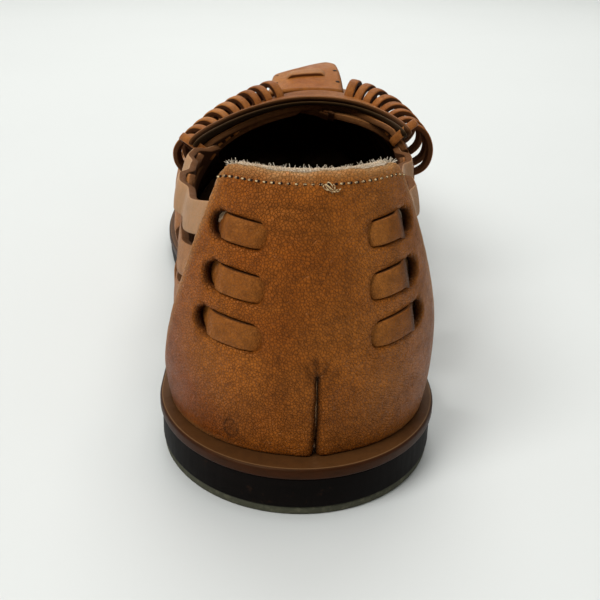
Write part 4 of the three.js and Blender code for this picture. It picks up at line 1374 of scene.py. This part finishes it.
def welt_leather():
    """Rolled sole leather, stained and waxed: smooth brown top with a low shine, red-brown cut edge."""
    material, tree, place = begin_material("waxed_rolled_sole_leather")
    cloud = pattern(tree, place, 18, 4.0)
    fine = pattern(tree, place, 1.1, 5.0, 0.7)
    top = add(tree, "ShaderNodeMix", {0: cloud, 6: ink("3b200d"), 7: ink("5f3d1f")}, data_type="RGBA")
    speck = add(tree, "ShaderNodeMapRange", {"Value": fine, "From Min": 0.45, "From Max": 0.7, "To Max": 0.3})
    top = add(tree, "ShaderNodeMix", {0: speck, 6: top, 7: ink("2c180b")}, data_type="RGBA")
    up = add(tree, "ShaderNodeAttribute", attribute_name="up").outputs["Fac"]
    rough_cut = pattern(tree, place, 0.8, 4.0, 0.7, (0.35, 0.35, 1.5))
    side = add(tree, "ShaderNodeMix", {0: rough_cut, 6: ink("120501"), 7: ink("3c1806")}, data_type="RGBA")
    is_top = add(tree, "ShaderNodeMapRange", {"Value": up, "From Min": 0.74, "From Max": 0.90})
    # Painted highlight: a pale line along the welt's rounded top corner
    painted_edge_highlight = add(tree, "ShaderNodeMath", {0: up, 1: 0.86}, operation="SUBTRACT")
    painted_edge_highlight = add(tree, "ShaderNodeMath", {0: painted_edge_highlight}, operation="ABSOLUTE")
    painted_edge_highlight = add(tree, "ShaderNodeMapRange",
              {"Value": painted_edge_highlight, "From Min": 0.0, "From Max": 0.05, "To Min": 0.4, "To Max": 0})
    tint = add(tree, "ShaderNodeMix", {0: is_top, 6: side, 7: top}, data_type="RGBA")
    tint = add(tree, "ShaderNodeMix", {0: painted_edge_highlight, 6: tint, 7: ink("a07a52")}, data_type="RGBA")
    gloss = add(tree, "ShaderNodeMapRange", {"Value": fine, "To Min": 0.42, "To Max": 0.60})
    height = add(tree, "ShaderNodeMath", {0: rough_cut, 1: 0.7, 2: fine}, operation="MULTIPLY_ADD")
    relief = add(tree, "ShaderNodeBump", {"Strength": 0.22, "Distance": 0.0002, "Height": height})
    return end_material(material, tree, tint, gloss, relief, Specular_IOR_Level=0.22, Specular_Tint=WARM)


def midsole_rubber():
    """Ground sole rubber, black-brown and trimmed on a wheel: near black, dull, faint layers and nicks."""
    material, tree, place = begin_material("ground_black_brown_rubber")
    layers = pattern(tree, place, 1.1, 3.0, 0.6, (0.10, 0.10, 1.0))
    trim = pattern(tree, place, 0.9, 3.0, 0.6, (1.0, 1.0, 0.12))
    tint = add(tree, "ShaderNodeMix", {0: layers, 6: ink("030201"), 7: ink("0e0806")}, data_type="RGBA")
    nick = pattern(tree, place, 3.5, 5.0, 0.75)
    nick = add(tree, "ShaderNodeMapRange", {"Value": nick, "From Min": 0.62, "From Max": 0.76, "To Max": 0.5})
    tint = add(tree, "ShaderNodeMix", {0: nick, 6: tint, 7: ink("3a2418")}, data_type="RGBA")
    gloss = add(tree, "ShaderNodeMapRange", {"Value": trim, "To Min": 0.45, "To Max": 0.68})
    height = add(tree, "ShaderNodeMath", {0: layers, 1: 0.8, 2: trim}, operation="MULTIPLY_ADD")
    relief = add(tree, "ShaderNodeBump", {"Strength": 0.3, "Distance": 0.0002, "Height": height})
    return end_material(material, tree, tint, gloss, relief, Specular_IOR_Level=0.06)


def tread_rubber():
    """Moulded sole rubber, scuffed: grey-green black, matt, with dust in its pores."""
    material, tree, place = begin_material("moulded_grey_green_rubber")
    cloud = pattern(tree, place, 9, 5.0, 0.7)
    dust = pattern(tree, place, 1.2, 4.0, 0.7)
    tint = add(tree, "ShaderNodeMix", {0: cloud, 6: ink("2b2c22"), 7: ink("4c4b38")}, data_type="RGBA")
    powder = add(tree, "ShaderNodeMapRange",
                 {"Value": dust, "From Min": 0.5, "From Max": 0.75, "To Max": 0.5})
    tint = add(tree, "ShaderNodeMix", {0: powder, 6: tint, 7: ink("76735c")}, data_type="RGBA")
    ribs = add(tree, "ShaderNodeTexWave", {"Vector": place, "Scale": 90.0, "Distortion": 0.0},
               bands_direction="Y")
    height = add(tree, "ShaderNodeMath", {0: ribs, 1: 0.5, 2: dust}, operation="MULTIPLY_ADD")
    gloss = add(tree, "ShaderNodeMapRange", {"Value": dust, "To Min": 0.62, "To Max": 0.82})
    relief = add(tree, "ShaderNodeBump", {"Strength": 0.3, "Distance": 0.0003, "Height": height})
    return end_material(material, tree, tint, gloss, relief, Specular_IOR_Level=0.3)


def waxed_thread():
    """Twisted linen thread, waxed and soiled: tan to cream, with dark lines between its plies."""
    material, tree, place = begin_material("twisted_waxed_linen")
    twist = add(tree, "ShaderNodeTexWave", {"Vector": place, "Scale": 620.0, "Distortion": 1.5},
                bands_direction="DIAGONAL")
    tint = add(tree, "ShaderNodeMix", {0: twist, 6: ink("7d5f3c"), 7: ink("d6bb8c")}, data_type="RGBA")
    gloss = add(tree, "ShaderNodeMapRange", {"Value": twist, "To Min": 0.55, "To Max": 0.72})
    relief = add(tree, "ShaderNodeBump", {"Strength": 0.5, "Distance": 0.0001, "Height": twist})
    return end_material(material, tree, tint, gloss, relief, Specular_IOR_Level=0.3)


def needle_hole():
    """Painted shade for the hollows of the needle holes and the plug's slits and lace holes: near black and
    dull.
    """
    material, tree, place = begin_material("painted_hole_shade")
    speck = pattern(tree, place, 0.6)
    tint = add(tree, "ShaderNodeMix", {0: speck, 6: ink("120804"), 7: ink("2a150b")}, data_type="RGBA")
    gloss = add(tree, "ShaderNodeMapRange", {"Value": speck, "To Min": 0.7, "To Max": 0.9})
    relief = add(tree, "ShaderNodeBump", {"Strength": 0.2, "Distance": 0.0001, "Height": speck})
    return end_material(material, tree, tint, gloss, relief, Specular_IOR_Level=0.2)


def loose_fibre():
    """Collagen fibres pulled out of raw leather: pale, thin and dull."""
    material, tree, place = begin_material("raw_leather_fibre")
    vary = pattern(tree, place, 2.0)
    tint = add(tree, "ShaderNodeMix", {0: vary, 6: ink("cdb897"), 7: ink("f4ead8")}, data_type="RGBA")
    gloss = add(tree, "ShaderNodeMapRange", {"Value": vary, "To Min": 0.8, "To Max": 0.95})
    relief = add(tree, "ShaderNodeBump", {"Strength": 0.1, "Distance": 0.0001, "Height": vary})
    return end_material(material, tree, tint, gloss, relief, Specular_IOR_Level=0.2)


def studio_paper(colour):
    """Matt seamless paper: pale, even, with the faintest mottle."""
    material, tree, place = begin_material("matt_seamless_paper")
    vary = pattern(tree, place, 160)
    tint = add(tree, "ShaderNodeMix", {0: vary, 6: colour, 7: ink("d3d5d2")}, data_type="RGBA")
    gloss = add(tree, "ShaderNodeMapRange", {"Value": vary, "To Min": 0.55, "To Max": 0.7})
    relief = add(tree, "ShaderNodeBump", {"Strength": 0.02, "Distance": 0.0002, "Height": vary})
    return end_material(material, tree, tint, gloss, relief, Specular_IOR_Level=0.3)


# ---- the user's sizes and colours ----

class SandalSizes(bpy.types.PropertyGroup):
    stitch_pitch: FloatProperty(name="Stitch pitch", description="Distance from one stitch to the next",
                                default=0.0016, unit="LENGTH", precision=5)
    stitch_length: FloatProperty(name="Stitch length", description="Length of thread that shows",
                                 default=0.0009, unit="LENGTH", precision=5)
    fibre_length: FloatProperty(name="Fibre length", description="Longest loose fibre on the raw edge",
                                default=0.0011, unit="LENGTH", precision=5)
    fibre_density: FloatProperty(name="Fibre density", description="Fibres on a square metre of raw edge",
                                 default=7.0e6)
    lens: FloatProperty(name="Lens", description="Focal length of the camera", default=57.0, unit="CAMERA")
    eye_height: FloatProperty(name="Eye height", description="Height of the camera over the floor",
                              default=0.1225, unit="LENGTH")
    eye_back: FloatProperty(name="Eye distance", description="Distance of the camera behind the heel",
                            default=0.1736, unit="LENGTH")


class SandalColours(bpy.types.PropertyGroup):
    paper: FloatVectorProperty(name="Paper", description="Colour of the floor and backdrop", subtype="COLOR",
                               size=4, min=0, max=1, default=ink("cdcfcc"))


# ---- one operator for each group of pieces ----

class SANDAL_OT_sole(bpy.types.Operator):
    """Tread, midsole and welt, each with its own rounded edge"""
    bl_idname = "sandal.sole"
    bl_label = "Sole layers"

    def execute(self, context):
        tread = make_piece("rubber_tread", layer(lift, tread_top, 0.9, 0.9, 0.5), tread_rubber())
        hand_over(tread, "tread_rubber", "tread")
        middle = make_piece("midsole_layer", layer(lambda y: tread_top(y) + 0.02, middle_top, 0.6, 0.6, 0.35),
                           midsole_rubber())
        hand_over(middle, "dark_sole", "midsole")
        welt = make_piece("welt_ledge", layer(lambda y: middle_top(y) + 0.04, welt_top, 0.0, 0.0, 0.75),
                          welt_leather())
        hand_over(welt, "welt_leather", "welt")
        return {"FINISHED"}


class SANDAL_OT_foot_bed(bpy.types.Operator):
    """The sock leather inside"""
    bl_idname = "sandal.foot_bed"
    bl_label = "Foot bed"

    def execute(self, context):
        side, back = LEDGE_SIDE + INNER_BUILD + 1.2, LEDGE_BACK + INNER_BUILD + 1.2
        parts = layer(lambda y: welt_top(y) + 0.1, lambda y: welt_top(y) + GAP + 2, side, back, 0.6)
        bed = make_piece("foot_bed", parts, bed_leather())
        hand_over(bed, "insole_leather", "insole")
        return {"FINISHED"}


class SANDAL_OT_heel_counter(bpy.types.Operator):
    """The heel counter with its slots and dart, and the suede lining at its top edge"""
    bl_idname = "sandal.heel_counter"
    bl_label = "Heel counter"

    def execute(self, context):
        counter = make_piece("heel_counter_hide", [counter_part()], counter_leather())
        hand_over(counter, "counter_leather", "heel_counter")
        lining = make_piece("collar_lining", [lining_strip()], lining_leather())
        hand_over(lining, "counter_leather")
        return {"FINISHED"}


class SANDAL_OT_counter_trim(bpy.types.Operator):
    """The stitch row, its needle holes, the torn thread and the raw edge's fibres"""
    bl_idname = "sandal.counter_trim"
    bl_label = "Stitches and fibres"

    def execute(self, context):
        sizes = context.scene.sandal_sizes
        thread = waxed_thread()
        grain = COUNTER_OFF + COUNTER
        line = top_line(STITCH_DROP, grain)
        out = unit(top_line(STITCH_DROP, grain + 1) - line)
        x_gap = 2.0
        middle = on_counter(np.array([3.2]), np.array([COUNTER_TOP * UPWARD - STITCH_DROP]), grain)
        away = np.linalg.norm(line - middle, axis=-1)
        keep = away > x_gap
        breaks = np.flatnonzero(np.diff(keep.astype(int)))
        rows = [slice(0, breaks[0] + 1), slice(breaks[1] + 1, len(line))]
        lines, outs = [line[r] for r in rows], [out[r] for r in rows]
        tree = stitch_tree()
        stitches = grow(path_piece("stitch_path", lines, outs), tree, "stitch_row", thread,
                        pitch=sizes.stitch_pitch, length=sizes.stitch_length, radius=0.00024, rise=0.00002)
        hand_over(stitches, "counter_leather")
        # Needle holes as sunk near-black grains: painted shade in each hole
        holes = grow(path_piece("hole_path", [line[2:]], [out[2:]]), tree, "needle_holes", needle_hole(),
                     pitch=sizes.stitch_pitch, length=0.0008, radius=0.00034, rise=-0.00008)
        hand_over(holes, "counter_leather")
        torn = make_piece("torn_thread", torn_thread(), thread)
        hand_over(torn, "counter_leather")
        columns = 200
        low = top_line(0.10, COUNTER_OFF - 1.1, 0.97, columns)
        high = top_line(0.10, COUNTER_OFF + 0.9, 0.97, columns)
        points = np.concatenate([low, high])
        faces = [[k, k + 1, columns + k + 1, columns + k] for k in range(columns - 1)]
        edge = make_piece("raw_edge", [(points, faces, {})], thread, closed=False)
        fibres = grow(edge, fibre_tree(), "edge_fibres", loose_fibre(), density=sizes.fibre_density,
                      length=sizes.fibre_length, radius=0.000045)
        hand_over(fibres, "counter_leather")
        return {"FINISHED"}


class SANDAL_OT_straps(bpy.types.Operator):
    """Laced side straps and the woven vamp, over and under by turns"""
    bl_idname = "sandal.straps"
    bl_label = "Woven straps"

    def execute(self, context):
        straps = weave(side_straps() + vamp_straps())
        hide = strap_leather()
        groups = {"outer_side_straps": [], "inner_side_straps": [], "vamp_straps": []}
        names = {-1: "outer_side_straps", 1: "inner_side_straps", 0: "vamp_straps"}
        for strap in straps:
            # Painted shade: each laced strap is darkened where it dives into its slot
            shade = strap.get("shade", 0.0)
            part = lay_strap(strap["path"], strap["wide"], WALL, pale=strap["pale"], stain=shade)
            part[0][:, 2] = np.maximum(part[0][:, 2], welt_top(part[0][:, 1]) + 0.1)
            groups[names[strap["side"]]].append(part)
        for name, parts in groups.items():
            hand_over(make_piece(name, parts, hide), "strap_leather", "upper")
        w = np.linspace(BAND[0]["w"] - 0.02, BAND[-1]["w"] + 0.02, 90)
        rail = np.stack([share_at(band_y(w) + BAND_WIDE - 4.5), w, np.full(90, INSIDE + 2.2)], -1)
        trim = [lay_strap(rail, 10, 1.9, pale=0.05)]
        for side in (-1, 1):
            trim += [lasting_margin(side)] + [toe_strap(side, place) for place in TOE_STRAPS]
        hand_over(make_piece("vamp_edge_straps", trim, hide), "strap_leather", "upper")
        return {"FINISHED"}


class SANDAL_OT_throat_band(bpy.types.Operator):
    """The two plies of the throat band"""
    bl_idname = "sandal.throat_band"
    bl_label = "Throat band"

    def execute(self, context):
        def outer(a, b, height):
            return band_place(a, b, height, low=LINING, thick=BAND_THICK - LINING)

        def lining(a, b, height):
            return band_place(a, b, height, grow=0.2, thick=LINING)

        sizes = {"wide": BAND_WIDE, "long": 80}
        sheet = grid_sheet(110, 22, outer, BAND_THICK - LINING, sizes)
        top = make_piece("throat_band_hide", [sheet], band_leather())
        hand_over(top, "band_leather", "throat_band")
        sheet = grid_sheet(110, 22, lining, LINING - 0.02, sizes)
        under = make_piece("throat_band_lining", [sheet], band_lining())
        hand_over(under, "band_leather")
        return {"FINISHED"}


class SANDAL_OT_plug(bpy.types.Operator):
    """The plug, the strap through it and its slits and lace holes"""
    bl_idname = "sandal.plug"
    bl_label = "Plug"

    def execute(self, context):
        sizes = {"wide": PLUG["to"] - PLUG["from"], "long": 2 * PLUG["rear"]}
        hide = leather("vegetable_tanned_plug_hide", ("5a2c0e", "96531a", "b4732b"), grain_mm=0.75,
                       rough=(0.38, 0.55), cut="5c3519", flesh="3a2616", burnish=0.4, cloud_mm=16)
        plug = make_piece("plug_hide", [grid_sheet(60, 60, plug_place, PLUG["thick"], sizes)], hide)
        hand_over(plug, "plug_leather", "plug")
        strap = make_piece("plug_strap", [plug_strap()], hide)
        hand_over(strap, "plug_leather")
        spots = [
            (-6.1, 170.3, 0.8, 2.3),
            (6.1, 170.3, 0.8, 2.3),
            (-9.3, 167.0, 0.8, 0.8),
            (9.2, 173.5, 0.8, 0.8),
            (9.9, 165.0, 0.8, 0.8),
            (-8.8, 176.0, 0.7, 0.7),
        ]
        # Dark ellipses over the slits and lace holes: painted shade in their openings
        parts = []
        for x, y, wide, tall in spots:
            turn = np.linspace(0, 2 * np.pi, 20, endpoint=False)
            rings = []
            for size, height in ((1.0, 0.0), (1.0, PLUG["thick"] - 0.28), (0.82, PLUG["thick"] + 0.02)):
                across, along = size * wide * np.cos(turn), size * tall * np.sin(turn)
                rings.append(plug_spot(x + across, y + along, height))
            parts.append((np.concatenate(rings), skin(3, 20), {}))
        holes = make_piece("plug_slits", parts, needle_hole())
        hand_over(holes, "plug_leather")
        return {"FINISHED"}


class SANDAL_OT_loops(bpy.types.Operator):
    """The lace loops that join the band to the vamp"""
    bl_idname = "sandal.loops"
    bl_label = "Lace loops"

    def execute(self, context):
        lace = lace_leather()
        hand_over(make_piece("lace_loops", loop_straps(), lace), "strap_leather", "upper")
        hand_over(make_piece("lace_end_rings", end_rings(), lace), "strap_leather")
        return {"FINISHED"}


class SANDAL_OT_stage(bpy.types.Operator):
    """Seamless paper, soft lights and the camera"""
    bl_idname = "sandal.stage"
    bl_label = "Stage"

    def execute(self, context):
        scene = context.scene
        sizes = scene.sandal_sizes
        scene.view_settings.view_transform = "Standard"
        bend = np.linspace(0, np.pi / 2, 17)
        curve = [(1.2 + 0.8 * math.sin(a), 0.8 * (1 - math.cos(a))) for a in bend]
        profile = [(-3.0, 0.0)] + curve + [(2.0, 3.0)]
        points = [(x, y, z) for y, z in profile for x in (-4.0, 4.0)]
        faces = [(2 * k, 2 * k + 1, 2 * k + 3, 2 * k + 2) for k in range(len(profile) - 1)]
        mesh = bpy.data.meshes.new("seamless_paper")
        mesh.from_pydata(points, [], faces)
        mesh.materials.append(studio_paper(tuple(scene.sandal_colours.paper)))
        mesh.polygons.foreach_set("use_smooth", [True] * len(mesh.polygons))
        paper = bpy.data.objects.new("seamless_paper", mesh)
        scene.collection.objects.link(paper)
        lights = [
            {"name": "key_light", "at": (-0.75, -0.75, 1.15), "to": (0, 0, 0), "size": 0.8, "power": 15.5},
            {"name": "top_light", "at": (0.1, 0.35, 1.5), "to": (0, 0, 0), "size": 1.3, "power": 10.5},
            {"name": "fill_light", "at": (1.0, -0.6, 0.7), "to": (0, 0, 0), "size": 0.8, "power": 0.5},
            {"name": "backdrop_light", "at": (0, 0.95, 1.3), "to": (0, 1.35, 0), "size": 1.1, "power": 12.0},
        ]
        for row in lights:
            data = bpy.data.lights.new(row["name"], "AREA")
            data.shape = "DISK"
            data.size = row["size"]
            data.energy = row["power"]
            light = bpy.data.objects.new(row["name"], data)
            light.location = row["at"]
            light.rotation_euler = (Vector(row["at"]) - Vector(row["to"])).to_track_quat("Z", "Y").to_euler()
            scene.collection.objects.link(light)
        world = bpy.data.worlds.new("pale_room")
        world.use_nodes = True
        world.node_tree.nodes["Background"].inputs["Color"].default_value = ink("f2f4f3")
        world.node_tree.nodes["Background"].inputs["Strength"].default_value = 0.32
        scene.world = world
        data = bpy.data.cameras.new("view")
        data.lens = sizes.lens
        data.sensor_width = 36
        data.clip_start = 0.01
        camera = bpy.data.objects.new("view", data)
        eye = Vector((-0.0089, WELT_LOW[1] - sizes.eye_back, sizes.eye_height))
        heading, dip, roll = math.radians(AIM["heading"]), math.radians(AIM["dip"]), math.radians(AIM["roll"])
        ahead = Vector((math.sin(heading) * math.cos(dip), math.cos(heading) * math.cos(dip), -math.sin(dip)))
        turn = ahead.to_track_quat("-Z", "Y").to_matrix().to_4x4()
        camera.matrix_world = Matrix.Translation(eye) @ turn @ Matrix.Rotation(roll, 4, "Z")
        scene.collection.objects.link(camera)
        scene.camera = camera
        return {"FINISHED"}


PIECES = (
    SANDAL_OT_stage,
    SANDAL_OT_sole,
    SANDAL_OT_foot_bed,
    SANDAL_OT_heel_counter,
    SANDAL_OT_counter_trim,
    SANDAL_OT_straps,
    SANDAL_OT_throat_band,
    SANDAL_OT_plug,
    SANDAL_OT_loops,
)


class SANDAL_PT_panel(bpy.types.Panel):
    """Sizes, colours and pieces of the sandal"""
    bl_label = "Huarache Sandal"
    bl_idname = "SANDAL_PT_panel"
    bl_space_type = "VIEW_3D"
    bl_region_type = "UI"
    bl_category = "Sandal"

    def draw(self, context):
        for group in (context.scene.sandal_sizes, context.scene.sandal_colours):
            for key in group.bl_rna.properties.keys():
                if key not in ("rna_type", "name"):
                    self.layout.prop(group, key)
        for piece in PIECES:
            self.layout.operator(piece.bl_idname)


CLASSES = (SandalSizes, SandalColours) + PIECES + (SANDAL_PT_panel,)


def register():
    for cls in CLASSES:
        bpy.utils.register_class(cls)
    bpy.types.Scene.sandal_sizes = bpy.props.PointerProperty(type=SandalSizes)
    bpy.types.Scene.sandal_colours = bpy.props.PointerProperty(type=SandalColours)


def unregister():
    del bpy.types.Scene.sandal_colours
    del bpy.types.Scene.sandal_sizes
    for cls in reversed(CLASSES):
        bpy.utils.unregister_class(cls)


def main():
    register()
    for piece in PIECES:
        group, name = piece.bl_idname.split(".")
        getattr(getattr(bpy.ops, group), name)()


if __name__ == "__main__":
    main()
